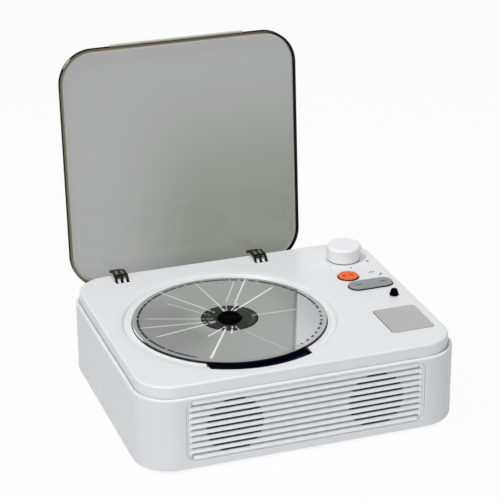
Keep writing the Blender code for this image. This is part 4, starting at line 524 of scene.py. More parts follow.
def navy_material():
    """The glossy dark blue of the well's floor, with a painted reflection that makes it paler
    towards the left end of the relief.
    """
    n = Nodes("navy_gloss")
    # Painted reflection: the navy is paler towards the left end of the relief.
    left = n.ease(n.parts(n.place)[0], -0.052, -0.026, 1.0, 0.0)
    navy = n.mix(n.noise(30.0, 3.0), (0.012, 0.015, 0.060), (0.020, 0.024, 0.085))
    return n.finish(n.mix(left, navy, (0.075, 0.090, 0.165)), (80.0, 3.0, 0.10, 0.17),
                    (3000.0, 2.0, 0.0015), Specular_IOR_Level=0.35)


def liner_material():
    """The dark sides of the relief, greyer at their right end as painted light on the lit right
    wall.
    """
    n = Nodes("relief_side")
    # Painted light: the right end is greyer, as the lit right wall looks.
    right = n.ease(n.parts(n.place)[0], 0.004, 0.010)
    return n.finish(n.mix(right, (0.012, 0.014, 0.035), (0.085, 0.095, 0.105)),
                    (80.0, 3.0, 0.2, 0.3), (3000.0, 2.0, 0.0015), Specular_IOR_Level=0.2)


def rib_material():
    """The white of the ribs, with painted shade greying their valleys."""
    n = Nodes("white_ribs")
    x, y, z = n.parts(n.place)
    middle_x, middle_z = (value * MM for value in GRILLE_MIDDLE)
    field = n.times(n.near(x, middle_x, 0.0712, 0.0722), n.near(z, middle_z, 0.0188, 0.0194))
    # Painted shade: the deep valleys between the ribs are greyed.
    painted_valley_shade = n.times(n.ease(y, -0.0828, -0.0821), field)
    crest = n.mix(n.noise(22.0, 3.0), (0.92, 0.93, 0.945), (0.94, 0.95, 0.965))
    return n.finish(n.mix(painted_valley_shade, crest, (0.38, 0.39, 0.40)), (60.0, 4.0, 0.31, 0.39),
                    (4200.0, 3.0, 0.6, 0.004))


def in_lid(n):
    """Coordinates of the lid's own frame: across, through and up its panel."""
    local = n.vector("SUBTRACT", n.place, (LID_X * MM, HINGE_Y * MM, HINGE_Z * MM))
    turn = n.add("ShaderNodeVectorRotate", {"Vector": local, "Angle": LEAN}, rotation_type="X_AXIS")
    return n.parts(turn.outputs[0])


def lid_inset(n, x, z):
    """How far a point lies inside the lid's round-cornered outline, in metres."""
    across = n.math("SUBTRACT", n.math("ABSOLUTE", x), 0.0566)
    upward = n.math("SUBTRACT", n.off(z, 0.0778), 0.0568)
    corner = n.add("ShaderNodeCombineXYZ", {0: n.most(across, 0.0), 1: n.most(upward, 0.0)})
    outside = n.vector("LENGTH", corner.outputs[0])
    inside = n.math("MINIMUM", n.most(across, upward), 0.0)
    return n.math("SUBTRACT", 0.022, n.math("ADD", outside, inside))


def lid_panel_material():
    """The smoked sheet: see-through grey, with a painted green reflection to the lower right on its
    inner face, and a painted pale highlight along the rim.
    """
    n = Nodes("smoked_panel")
    x, y, z = in_lid(n)
    # Painted reflection: the inner face turns greener towards the lower right.
    right = n.ease(x, -0.06, 0.02)
    low = n.ease(z, 0.15, 0.03)
    cloud = n.spread(n.noise(9.0, 2.0), 0.3, 0.7, 0.92, 1.08)
    green = n.math("MULTIPLY", n.times(right, low), cloud, clamp=True)
    inner_face = n.spread(y, 0.0132, 0.0142, 1.0, 0.1)
    smoke = n.mix(n.times(green, inner_face), (0.165, 0.170, 0.175), (0.12, 0.18, 0.075))
    # Painted highlight: a pale strip along the rim, fading out down the right side.
    rim = n.times(n.spread(lid_inset(n, x, z), 0.0030, 0.0036, 1.0, 0.0),
                  n.spread(x, 0.055, 0.070, 1.0, 0.12))
    return n.finish(
        n.mix(rim, smoke, (0.74, 0.72, 0.60)), (40.0, 3.0, 0.05, 0.08), (35.0, 2.0, 0.004),
        Alpha=n.most(n.spread(green, 0.0, 1.0, 0.43, 0.56), n.times(rim, 0.9)),
        Specular_IOR_Level=0.4,
    )


def lid_face_material():
    """The front of the lid's rim: tan at the left and top, with painted shade making it black down
    the right side.
    """
    n = Nodes("smoked_face")
    x, _, z = in_lid(n)
    # Painted shade: the face turns black down the right side.
    right = n.ease(x, 0.050, 0.067)
    inset = n.spread(lid_inset(n, x, z), 0.0003, 0.0012)
    olive = n.mix(inset, (0.10, 0.088, 0.056), (0.215, 0.20, 0.14))
    return n.finish(n.mix(right, olive, (0.004, 0.004, 0.003)), (60.0, 3.0, 0.10, 0.18),
                    (1500.0, 2.0, 0.001), Specular_IOR_Level=0.12)


def lid_side_material():
    """The sides of the lid: olive in front and black at the back as painted shade, with a painted
    glint at one corner.
    """
    n = Nodes("smoked_side")
    x, y, z = in_lid(n)
    # Painted shade: the sides darken from olive to black towards the back.
    depth = n.ease(y, 0.0094, 0.0118)
    dark = n.mix(depth, (0.070, 0.063, 0.040), (0.006, 0.0055, 0.003))
    # Painted highlight: a glint on the rounded top-left corner.
    corner = n.math("ARCTAN2", n.math("SUBTRACT", z, 0.1346), n.math("SUBTRACT", -0.0563, x))
    painted_corner_glint = n.times(n.near(corner, 0.72, 0.10, 0.22, True),
                     n.near(y, 0.0113, 0.0004, 0.0007, True))
    return n.finish(n.mix(painted_corner_glint, dark, (0.95, 0.95, 0.93)), (60.0, 3.0, 0.16, 0.24),
                    (1500.0, 2.0, 0.001), Specular_IOR_Level=0.0)


def lid_inner_material():
    """The inner sides of the rim: painted light makes them pale olive by the panel, and painted
    shade nearly black towards the front.
    """
    n = Nodes("smoked_inner")
    # Painted light and shade: pale by the panel, nearly black towards the front.
    depth = n.spread(in_lid(n)[1], 0.0110, 0.0117)
    return n.finish(n.mix(depth, (0.003, 0.003, 0.002), (0.40, 0.42, 0.38)),
                    (60.0, 3.0, 0.16, 0.24), (1500.0, 2.0, 0.001), Specular_IOR_Level=0.0)


def tab_material():
    """The thin olive web between the prongs of a hinge arm, its streaky clouds of lighter and
    darker olive a painted reflection.
    """
    n = Nodes("smoked_tab")
    # Painted reflection: streaky clouds of lighter and darker olive.
    cloud = n.spread(n.noise(420.0, 3.0, 0.5, (1.0, 0.4, 1.0)), 0.35, 0.65)
    return n.finish(n.mix(cloud, (0.115, 0.105, 0.070), (0.215, 0.205, 0.150)),
                    (90.0, 3.0, 0.2, 0.3), (1800.0, 2.0, 0.002), Specular_IOR_Level=0.15)


# The white strokes of painted highlight on the disc: start and end about its axis, the half
# widths there, all in mm, and how strong each is
PAINTED_HIGHLIGHT_STROKES = (
    (-9.5, 2.0, -50.6, 17.1, 0.9, 1.0, 0.38),
    (-9.4, -1.4, -57.7, 5.1, 1.0, 1.0, 0.52),
    (-9.6, -2.2, -51.7, -10.4, 1.1, 0.9, 0.68),
    (-10.3, 7.6, -31.0, 34.3, 0.8, 0.8, 0.36),
    (-6.0, 10.5, -30.7, 52.4, 0.9, 0.7, 0.62),
    (0.8, 10.3, -4.4, 57.9, 0.7, 0.4, 0.80),
    (0.1, 9.9, -0.7, 16.5, 0.8, 0.8, 0.85),
    (5.1, 21.9, 20.6, 51.0, 0.5, 0.6, 0.66),
    (1.7, 10.1, 3.6, 17.8, 0.6, 0.6, 0.70),
    (9.4, 18.0, 28.6, 51.9, 0.55, 0.85, 0.90),
    (4.3, 9.6, 11.8, 18.7, 0.7, 0.8, 0.95),
    (5.8, 8.5, 41.4, 34.3, 0.9, 0.9, 0.95),
    (13.6, -1.1, 44.2, -2.5, 0.8, 0.8, 0.50),
    (3.2, -20.1, 18.8, -54.5, 0.6, 0.5, 0.32),
    (-6.3, -10.6, -21.2, -20.2, 0.9, 0.8, 0.90),
    (-6.2, -12.0, -29.0, -49.7, 0.7, 1.1, 1.00),
    (-2.1, -11.5, -6.0, -21.3, 0.7, 0.7, 0.90),
    (-0.4, -12.2, 0.1, -18.0, 0.8, 0.8, 0.75),
)


def strokes(n, across):
    """How strongly the white strokes of painted highlight cover a point, from 0 to 1."""
    total = None
    for x0, y0, x1, y1, near, far, strength in PAINTED_HIGHLIGHT_STROKES:
        length = math.hypot(x1 - x0, y1 - y0)
        way = ((x1 - x0) / length, (y1 - y0) / length)
        local = n.vector("SUBTRACT", across, (x0 * MM, y0 * MM, 0.0))
        along = n.vector("DOT_PRODUCT", local, (way[0], way[1], 0.0))
        aside = n.vector("DOT_PRODUCT", local, (-way[1], way[0], 0.0))
        width = n.spread(along, 0.0, length * MM, near * MM, far * MM)
        edge = n.math("DIVIDE", n.math("ABSOLUTE", aside), width)
        body = n.ease(edge, 1.0, 0.35, 0.0, strength)
        start = n.ease(along, -0.0004, 0.0008)
        end = n.ease(along, length * 0.92 * MM, length * MM, 1.0, 0.0)
        stroke = n.times(body, start, end)
        total = n.most(total, stroke) if total else stroke
    return total


def on_disc(n):
    """About the disc's axis: x, y, z, the radius, 1 on the top face, and the painted highlight
    strokes there.
    """
    across = n.vector("SUBTRACT", n.place, (DISC[0] * MM, DISC[1] * MM, 0.0))
    x, y, z = n.parts(across)
    radius = n.vector("LENGTH", n.vector("MULTIPLY", across, (1.0, 1.0, 0.0)))
    top = n.spread(z, 0.05565, 0.05569)
    return x, y, z, radius, top, n.times(strokes(n, across), top)


def disc_material():
    """The disc's mirror with painted reflection, its paler rim band, the ring of dashes and the
    white rays of painted highlight.
    """
    n = Nodes("disc_mirror")
    x, y, z, radius, top, white = on_disc(n)
    inner = n.most(radius, 0.001)
    rise, aside = n.math("DIVIDE", y, inner), n.math("DIVIDE", x, inner)

    # Sixty dashes of uneven length, shorter on the right and left out at the front
    turn = n.math("DIVIDE", n.math("ARCTAN2", y, x), 2 * math.pi)
    cell = n.math("MULTIPLY", n.math("ADD", turn, 0.5), 60.0)
    whole = n.math("FLOOR", cell)
    chance = n.add("ShaderNodeTexWhiteNoise", {"W": whole}, noise_dimensions="1D")
    length = n.spread(chance.outputs["Value"], 0.0, 1.0, 0.68, 1.15)
    share = n.math("MULTIPLY_ADD", n.near(turn, -0.10, 0.07, 0.11), -0.40, length)
    dashes = n.times(
        n.math("LESS_THAN", n.math("SUBTRACT", cell, whole), share),
        n.near(radius, 0.0564, 0.00065, 0.00095),
        n.spread(n.off(turn, -0.265), 0.085, 0.10), top,
    )

    # The painted shade line on the near edge, and the painted glint on the left of the side
    edge = n.times(n.spread(radius, 0.05965, 0.0598), n.ease(rise, 0.15, -0.15, 0.2))
    side = n.spread(radius, 0.0595, 0.0596)
    glint = n.times(side, n.near(rise, -0.05, 0.10, 0.20, True), n.spread(x, 0.0, -0.001),
                    n.spread(z, 0.0549, 0.0550))

    # Painted reflection: the silver is lighter and darker across the disc by position, and dulled
    # to the left.
    middle = n.mix(n.ease(x, -0.02, 0.02), (0.54, 0.545, 0.545), (0.60, 0.605, 0.61))
    middle = n.mix(n.ease(x, 0.028, 0.056), middle, (0.44, 0.445, 0.45))
    outer = n.mix(n.ease(x, 0.025, 0.055), (0.50, 0.505, 0.505), (0.43, 0.435, 0.44))
    silver = n.mix(n.spread(radius, 0.0568, 0.0571), middle, outer)
    painted_dark_reflection = n.times(n.ease(aside, -0.45, -0.95, 0.0, 0.8), n.spread(radius, 0.02, 0.03),
                   n.spread(radius, 0.0568, 0.0571, 1.0, 0.0))
    cloud = n.spread(n.noise(14.0, 2.0), 0.35, 0.65, 0.0, 0.3)
    for amount, colour in ((painted_dark_reflection, 0.36), (cloud, (0.50, 0.505, 0.505)), (dashes, 0.006),
                           (white, 0.96), (edge, 0.004), (glint, 0.95)):
        silver = n.mix(amount, silver, colour)
    covered = n.most(dashes, white, edge, side)
    return n.set(
        Base_Color=silver,
        Metallic=n.spread(covered, 0.0, 1.0, 0.45, 0.0),
        Roughness=n.spread(covered, 0.0, 1.0, 0.045, 0.35),
        Normal=n.bump(n.math("SINE", n.math("MULTIPLY", radius, 16000.0)), 0.0002),
    )


def ring_material():
    """The clear ring round the hole, dark over the black platform, with painted reflection lighter
    and glinting on the right, and the white rays of painted highlight.
    """
    n = Nodes("disc_ring")
    x, _, _, radius, _, white = on_disc(n)
    rims = n.most(n.near(radius, 0.0172, 0.00045, 0.0007), n.spread(radius, 0.0084, 0.0080))
    # Painted reflection: lighter on the right, with painted glints there.
    right = n.spread(x, 0.006, 0.010)
    spots = n.spread(n.noise(420.0, 3.0, 0.5, (1.0, 0.45, 1.0)), 0.60, 0.68)
    glint = n.times(spots, right, n.spread(radius, 0.0125, 0.0140), 0.5)
    cloud = n.spread(n.noise(260.0, 3.0), 0.35, 0.65)
    grey = n.mix(cloud, (0.042, 0.046, 0.046), (0.070, 0.075, 0.075))
    for amount, colour in ((right, (0.085, 0.090, 0.090)), (glint, 0.60), (rims, 0.003),
                           (white, 0.96)):
        grey = n.mix(amount, grey, colour)
    return n.set(
        Base_Color=grey,
        Metallic=n.spread(white, 0.0, 1.0, 0.92, 0.0),
        Roughness=0.10,
        Normal=n.bump(n.noise(600.0, 2.0), 0.001),
    )


WHITE_RIBS, NAVY, LINER = rib_material(), navy_material(), liner_material()
LID = [lid_panel_material(), lid_face_material(), lid_side_material(), lid_inner_material()]
GRIP = cloudy("smoked_grip", (0.52, 0.51, 0.44), (0.60, 0.59, 0.52), (120.0, 3.0),
              (300.0, 3.0, 0.35, 0.5), (2500.0, 2.0, 0.004))
ARM = cloudy("smoked_arm", (0.003, 0.003, 0.002), (0.012, 0.011, 0.007), (260.0, 3.0),
             (90.0, 3.0, 0.2, 0.3), (1800.0, 2.0, 0.002), Specular_IOR_Level=0.08)
TAB, MIRROR, RING = tab_material(), disc_material(), ring_material()


# The case

def case_ring(inset, z):
    """The case's outline drawn in by this much, at one height."""
    return level(rounded_rect(*[size - inset for size in CASE], 22), z)


def lower_shell():
    """The tub with its round rim, the grille's window, screw wells, foot recesses and sockets."""
    rings = [case_ring(1.6 * (1 - s), 1.5 + 1.6 * (1 - c)) for s, c in quarter(6)]
    rings += [case_ring(1.2 * (1 - c), 47.0 + 1.2 * s) for s, c in quarter(7)]
    rings += [case_ring(1.8 + 0.5 * s, 48.2 - 0.5 * (1 - c)) for s, c in quarter(4)]
    rings.append(case_ring(2.3, 3.5))
    shell = raw("lower_shell_skin", loft(rings))

    well = [(0, 0.5), (3.6, 0.5), (3.6, 1.5), (3.3, 1.8), (3.3, 2.3), (3.9, 2.3), (3.9, 5.0),
            (0, 5.0)]
    recess = [(0, 0.5), (6.6, 0.5), (6.6, 1.5), (6.3, 1.8), (6.3, 2.5), (0, 2.5)]
    post = [(3.3, 2.25), (3.3, 20.0), (1.7, 20.0), (1.7, 30.0), (4.4, 30.0), (4.4, 2.6),
            (3.85, 2.25)]
    tools = [mouth(growing(75.1, 19.95, 5.6, 12, GRILLE_MIDDLE), -80.0, 0.5, 6)]
    posts = []
    for sx, sy in CORNERS:
        at = (sx * SCREW[0], sy * SCREW[1])
        tools.append(spun(well, at, 40))
        tools.append(spun(recess, (sx * FOOT[0], sy * FOOT[1]), 48))
        posts.append(spun(post, at, 40, closed=True))
    tools.append(mouth(growing(4.8, 1.95, 1.65, 8, USB), 80.5, 0.35, 4))
    tools.append(mouth(growing_circle(3.2, 40, JACK), 80.5, 0.35, 4))
    change(shell, "DIFFERENCE", *tools)
    dress(shell, WHITE_SHELL, "white_plastic", "lower_shell")
    dress(raw("shell_posts", *posts), WHITE_SHELL, "white_plastic")


def relief_outline(inset, back):
    """The finger relief's outline, drawn in by this much, open to a line this far from the axis."""
    x, y = DISC
    left, right, radius = -32.3 + inset, 31.0 - inset, 68.6 - inset
    start, end = math.pi + math.acos(-left / radius), 2 * math.pi - math.acos(right / radius)
    return [(x + left, y - back)] + arc(DISC, radius, start, end, 40) + [(x + right, y - back)]


def top_deck():
    """The white top: skirt, dish, well, relief, hinge slots and the holes of the controls."""
    x, y = DISC
    edge = 1.2
    rings = [case_ring(4.6, 53.7), case_ring(4.6, 46.2), case_ring(2.6, 46.2)]
    rings += [case_ring(2.6 + edge * (1 - c), DECK_TOP - edge + edge * s) for s, c in quarter(6)]
    deck = raw("top_deck_skin", loft(rings))
    joined = [
        spun([(0, 51.3), (67.8, 51.3), (67.8, 54.6), (0, 54.6)], DISC, 160),
        round_box((x - 34.6, y - 71.2, 51.3), (x + 34.6, y - 30.2, 54.5), 2.6, 0.1),
    ]
    for at in HINGES.values():
        joined.append(round_box((at - 7.0, 63.2, 33.9), (at + 7.0, 80.9, 54.5), 0.5, 0.2))
    change(deck, "UNION", *joined)

    dish = filleted(
        [(0, 49.8), (60.35, 49.8), (60.35, 54.3, 0.1), (61.1, 54.3, 0.4), (62.6, 53.6, 1.0),
         (64.9, 53.6, 0.6), (66.4, 55.3, 1.0), (70.4, 55.7, 12.0), (76, 55.7)],
        8,
    )[:-1]
    dish += [(dish[-1][0], 57.5), (0, 57.5)]
    tools = [spun(dish, DISC, 192), pit(lambda g: relief_outline(-g, 30.0), 50.0, 55.55, 0.35)]
    slot = (
        (1.1, 66.6, 52.5), (1.2, 67.5, 53.7), (1.6, 68.6, 55.3), (1.85, 68.8, 55.7),
        (1.85, 68.8, 57.0),
    )
    hole = turned([(0, -9.5), (1.3, -9.5), (1.3, 9.5), (0, 9.5)], 24)
    for at in HINGES.values():
        tools.append(round_box((at - 5.4, 63.9, 35.5), (at + 5.4, 79.25, 53.7), 0.3, 0.1))
        rings = [level(rounded_rect(4.7, half, 0.4, 5, (at, y)), z) for half, y, z in slot]
        tools.append(loft(rings))
        for prong in (-PRONG_PITCH, 0.0, PRONG_PITCH):
            tools.append(pit(growing(1.0, 2.4, 0.8, 5, (at + prong, 69.6)), 52.5, DECK_TOP, 0.12))
        tools.append(moved(hole, about_pin(at)))
    for outline, low, flare in (
        (growing_circle(3.45, 40, KNOB), 52.0, 0.15),
        (growing_circle(7.2, 72, PLAY), 52.0, 0.22),
        (growing(15.2, 6.45, 6.44, 20, ROCKER), 52.0, 0.22),
        (growing_circle(2.2, 32, EYE), 52.0, 0.1),
        (growing(14.2, 16.6, 2.5, 8, BADGE), 55.1, 0.15),
    ):
        tools.append(pit(outline, low, DECK_TOP, flare))
    change(deck, "DIFFERENCE", *tools)
    dress(deck, WHITE_DECK, "white_plastic", "top_deck")


def marks(name, outlines, low, high, *looks, **more):
    """A piece of thin printed marks with these outlines."""
    shapes = [loft([level(outline, low), level(outline, high)]) for outline in outlines]
    dress(raw(name, *shapes), *looks, **more)


def bar(x, y, width, height, turn=0.0):
    """A short stroke with round ends about a point."""
    outline = rounded_rect(width / 2, height / 2, min(width, height) / 2 - 0.01, 4)
    c, s = math.cos(math.radians(turn)), math.sin(math.radians(turn))
    return [(x + a * c - b * s, y + a * s + b * c) for a, b in outline]


def wedge(x, y, size, way=1):
    """A small triangle that points left or right."""
    return filleted(
        [(x - way * size / 2, y - size * 0.55, 0.08), (x + way * size / 2, y, 0.08),
         (x - way * size / 2, y + size * 0.55, 0.08)],
        2, True,
    )


def deck_marks():
    """Small plain marks by the controls: minus and plus, a dot, and faint strokes."""
    dark = (
        (91.5, 45.3, 2.4, 0.8), (91.5, 45.3, 0.8, 2.4), (85.8, 28.0, 2.2, 0.6, 60),
        (87.0, 28.2, 2.2, 0.6, -60), (88.4, 28.2, 2.2, 0.6, 60), (90.8, 22.6, 3.4, 0.7, 50),
        (92.1, 24.2, 1.6, 1.3, 50),
    )
    faint = (
        (65.2, 45.2, 2.4, 0.45), (79.8, 39.5, 1.5, 0.4), (73.0, -3.5, 3.0, 0.35, 4),
        (72.6, -7.8, 2.6, 0.35, 8), (73.8, -11.8, 3.2, 0.35, 6),
    )
    for name, outlines, rise, ink in (
        ("deck_marks", [bar(*strip) for strip in dark], 0.02, DECK_INK),
        ("lamp_dot", [circle(0.62, 20, (77.3, 38.9))], 0.07, ORANGE_DARK),
        ("faint_marks", [bar(*strip) for strip in faint], 0.02, FAINT_INK),
    ):
        marks(name, outlines, DECK_TOP - 0.02, DECK_TOP + rise, ink, "white_plastic")


# The grille and what lies behind it

def grille():
    """The plate with its border, ten half-round ribs and the slots over the speakers."""
    left, right, low, high = -74.45, 75.65, 6.55, 46.35
    back, root, corner = -81.3, -82.1, 5.3
    pitch = (high - low) / 10
    half = ((right - left) / 2, (high - low) / 2)
    at = ((right + left) / 2, (high + low) / 2)

    def ring(in_x, in_z, bend, y):
        return upright(rounded_rect(half[0] - in_x, half[1] - in_z, bend, 12, at), y)

    rings = [ring(0, 0, corner, back)]
    for s, c in quarter(3):
        rings.append(ring(0.3 * (1 - c), 0.3 * (1 - c), corner, root + 0.3 * (1 - s)))
    plate = raw("grille_plate", loft(rings))
    slots, chambers = [], []
    for x in SPEAKERS.values():
        for i in range(1, 10):
            z = low + pitch * i
            reach = math.sqrt(17.85 ** 2 - abs(z - SPEAKER_Z) ** 2)
            outline = rounded_rect(reach, 0.72, 0.71, 6, (x, z))
            slots.append(loft([upright(outline, -85.0), upright(outline, -80.0)]))
        outline = circle(18.75, 64, (x, SPEAKER_Z))
        chambers.append(loft([upright(outline, -81.85), upright(outline, -80.0)]))
    change(plate, "DIFFERENCE", *slots, *chambers)
    dress(plate, WHITE_RIBS, "white_plastic", "grille_panel")

    # The ribs fill a round-cornered field, so the outer ones are shorter
    ribs = []
    radius = (pitch - 0.9) / 2
    field_left, field_low, field_corner = left + 1.4, low + 0.36, 4.5
    room = field_corner - radius
    for i in range(10):
        z = low + pitch * (i + 0.5)
        down = field_low + field_corner - min(z, low + high - z)
        start = field_left + radius
        if down > 0:
            start = field_left + field_corner - math.sqrt(max(room ** 2 - min(down, room) ** 2, 0))
        reach = half[0] - (start - left)
        outline = rounded_rect(reach + radius, radius, radius - 0.001, 10, (at[0], z))
        rings = [upright(outline, root + 0.4)]
        for s, c in quarter(8):
            thin = max(radius * c, 0.03)
            outline = rounded_rect(reach + thin, thin, thin - 0.001, 10, (at[0], z))
            rings.append(upright(outline, root - 1.35 * s))
        ribs.append(loft(rings))
    ribs = change(raw("grille_ribs", *ribs), "DIFFERENCE", *slots)
    dress(ribs, WHITE_RIBS, "white_plastic", sharp=50)
    bead = [
        ring(inset, inset / 2, corner - inset, root - rise)
        for inset, rise in ((0.02, -0.2), (0.02, 0.6), (0.25, 1.05), (0.8, 1.3), (1.35, 1.05),
                            (1.6, 0.5), (1.6, -0.2))
    ]
    dress(raw("grille_bead", loft(bead, closed=True)), WHITE_SHELL, "white_plastic")
    for side, x in SPEAKERS.items():
        rings = [
            upright(circle(wide, 64, (x, SPEAKER_Z)), y)
            for wide, y in ((18.5, -81.83), (18.7, -81.78), (18.7, -81.50))
        ]
        dress(raw(f"speaker_cloth_{side}", loft(rings)), CLOTH, "cone_paper")


# The turntable and the disc

def disc_tray():
    """The glossy dark floor of the well, stepped in rings, with the hole and the lens slot."""
    floor = [(5.0, 49.0), (5.0, 50.6, 0.2), (19.0, 50.6, 0.3), (19.8, 51.0, 0.3), (71.0, 51.0, 0.1),
             (71.0, 49.0, 0.1)]
    tray = raw("disc_tray_skin", spun(floor, DISC, 128, 3, True))
    slot = growing(4.0, 24.0, 3.99, 12, (DISC[0], DISC[1] + SLOT_BACK))
    change(tray, "DIFFERENCE", pit(slot, 48.0, 51.0, 0.3))
    dress(tray, NAVY, "navy_plastic", "disc_tray")

    shapes = []
    for back, high in ((52.4, 55.15), (44.0, 53.8)):
        band = relief_outline(0.0, back) + relief_outline(0.45, back)[::-1]
        shapes.append(loft([level(band, 51.05), level(band, high)]))
    dress(raw("relief_liner", *shapes), LINER, "navy_plastic")


def turntable():
    """The hub with its platform and three sprung lobes, the mat, the disc, its ring, the lens."""
    boss = [(0, 57.0), (2.3, 57.0, 0.2), (2.7, 57.7, 0.2), (4.4, 57.9, 0.5), (6.1, 57.9, 0.7),
            (7.1, 56.2, 1.2), (7.1, 53.4), (16.8, 53.4, 0.15), (17.0, 53.1, 0.1), (17.0, 52.2, 0.2),
            (4.0, 52.2, 0.2), (4.0, 47.6), (1.3, 47.6), (1.3, 53.7), (0, 53.7)]
    shapes = [spun(boss, DISC, 96, 4)]
    lobe = filleted([(0, 57.6), (1.1, 57.5, 0.5), (1.45, 56.4, 0.5), (1.1, 55.2)], 4) + [(0, 55.2)]
    for i in range(3):
        turn = Matrix.Rotation(2 * math.pi * i / 3 + 0.5, 4, "Z") @ Matrix.Translation((5.55, 0, 0))
        shapes.append(shifted(moved(turned(lobe, 24), turn), *DISC, 0))
    dress(raw("hub_skin", *shapes), BLACK, "black_plastic", "turntable_hub", "turntable")
    mat = [(15.5, 54.2, 0.15), (15.5, 53.7, 0.15), (9.0, 53.7, 0.1), (9.0, 54.2, 0.15)]
    dress(raw("mat_skin", spun(mat, DISC, 96, 3, True)), RUBBER, "black_rubber", "turntable_mat",
          "turntable")
    plate = [(17.8, 55.7), (60.0, 55.7, 0.2), (60.0, 54.5, 0.25), (17.8, 54.5)]
    dress(raw("disc_skin", spun(plate, DISC, 192, 4, True)), MIRROR, "disc_silver",
          "compact_disc", "disc")
    ring = [(7.5, 55.7, 0.15), (14.2, 55.7, 0.1), (14.4, 55.55, 0.1), (15.2, 55.55, 0.1),
            (15.4, 55.7, 0.1), (17.8, 55.7), (17.8, 54.5), (17.2, 54.5, 0.1), (16.9, 54.35, 0.1),
            (16.5, 54.5, 0.1), (7.5, 54.5, 0.15)]
    dress(raw("disc_ring", spun(ring, DISC, 128, 3, True)), RING, "disc_silver", body="disc")
    lens = [(0, 52.2), (1.6, 52.05, 1.5), (2.55, 51.5, 0.2), (2.7, 51.4, 0.1), (3.2, 51.4, 0.1),
            (3.2, 47.1), (0, 47.1)]
    dress(raw("lens_skin", spun(lens, (DISC[0], DISC[1] + LENS_BACK), 48, 4)), NAVY, "navy_plastic",
          "objective_lens", "sled")


# The lid and its hinges

def in_lean(shape):
    """The shape from the lid's frame, where Z runs up the panel, to its place."""
    where = Matrix.Translation((LID_X, HINGE_Y, HINGE_Z)) @ Matrix.Rotation(-LEAN, 4, "X")
    return moved(shape, where)


def lid():
    """The smoked lid: a thin panel set back in a round-cornered rim, with the grip strip."""
    inner, outer, panel = 9.33, 14.53, 12.83
    half = (78.25, 78.8)
    at = (0.0, 77.8)

    def ring(inset, y):
        return upright(rounded_rect(half[0] - inset, half[1] - inset, 22.0 - inset, 20, at), y)

    def skin(rings, place):
        return paint(in_lean(loft(rings, caps=False)), place)

    def sheet(inset, y, place):
        outline = ring(inset, y)
        return paint(in_lean((outline, [tuple(range(len(outline)))])), place)

    edge = 0.8
    side = [ring(0, inner + 0.25)]
    side += [ring(edge * (1 - c), outer - edge + edge * s) for s, c in quarter(6)]
    front = [ring(0.25 * (1 - c), inner + 0.25 - 0.25 * s) for s, c in quarter(3)]
    front += [ring(1.5 - 0.2 * c, inner + 0.2 * (1 - s)) for s, c in reversed(quarter(3))]
    wall = [ring(1.5, inner + 0.2), ring(1.5, panel - 0.5)]
    wall += [ring(1.5 + 0.5 * (1 - c), panel - 0.5 + 0.5 * s) for s, c in quarter(4)][1:]
    shapes = [
        sheet(edge, outer, 0), sheet(2.0, panel, 0), skin(front, 1), skin(side, 2), skin(wall, 3),
    ]
    dress(raw("lid_skin", *shapes), LID, "smoked_plastic", "lid_panel", "lid", 50)
    grip = round_box((-44.0, 11.93, 155.9), (44.0, 14.13, 157.8), 0.5, 0.3)
    dress(raw("lid_grip", in_lean(grip)), GRIP, "smoked_plastic", body="lid")


def arm_outline(out):
    """The side view of an arm about the pin, in (Y, Z), with this half thickness."""
    top, bend, heel, front = 10.8, 3.3, 3.3, -5.9
    side_a, side_b = [], []
    for side, o in ((side_a, out), (side_b, -out)):
        side.append((4.4, top - 0.2 + o))
        side.extend(arc((front + bend, top - bend), bend + o, math.pi / 2, math.pi, 12))
        side.extend(arc((front + heel, heel - 0.7), heel + o, math.pi, 3 * math.pi / 2, 8))
        side.append((0.0, -0.7 - o))
    return side_a + side_b[::-1]


def hinges():
    """Each arm with its three prongs, bars, web, plate, pad and barrel, and the arm's pin."""
    edges = ((0.0, 0.4), (0.12, 0.55), (0.3, 0.62), (1.2, 0.62), (1.38, 0.55), (1.5, 0.4))
    slope = [(3.8, 10.9), (12.543, 7.7), (12.543, 6.5), (3.8, 9.9)]
    face = 12.53
    tall = 7.3 / math.cos(LEAN) + face * math.tan(LEAN)
    barrel = filleted([(1.25, -4.5), (2.1, -4.5, 0.3), (2.1, 4.5, 0.3), (1.25, 4.5)], 4)
    pin = filleted([(0, -7.0), (1.0, -7.0, 0.2), (1.0, 7.0, 0.2), (0, 7.0)], 3)
    for side, at in HINGES.items():
        shapes = []
        for i in range(3):
            left = at - 4.45 + i * PRONG_PITCH
            shapes.append(loft([across(arm_outline(out), left + off) for off, out in edges]))
        for low, high in (((-3.6, 10.2), (-2.4, 11.2)), ((3.4, 9.9), (4.6, 11.1))):
            shapes.append(round_box((at - 4.2, *low), (at + 4.2, *high), 0.3, 0.25))
        web = round_box((at - 4.2, -3.0, 10.55), (at + 4.2, 4.0, 10.9), 0.2, 0.08)
        shapes.append(paint(web, 1))
        shapes.append(loft([across(slope, at - 3.4), across(slope, at + 4.3)]))
        shapes = [shifted(shape, 0, HINGE_Y, HINGE_Z) for shape in shapes]
        pad = round_box((at - LID_X - 3.4, face - 1.0, tall - 1.4),
                        (at - LID_X + 4.4, face, tall + 0.5), 0.4, 0.25)
        shapes += [in_lean(pad), moved(turned(barrel, 40, True), about_pin(at))]
        dress(raw(f"arm_skin_{side}", *shapes), [ARM, TAB], "smoked_plastic",
              f"hinge_arm_{side}", "lid")
        dress(raw(f"pin_skin_{side}", moved(turned(pin, 32), about_pin(at))), STEEL, "steel",
              f"hinge_pin_{side}")


# The controls

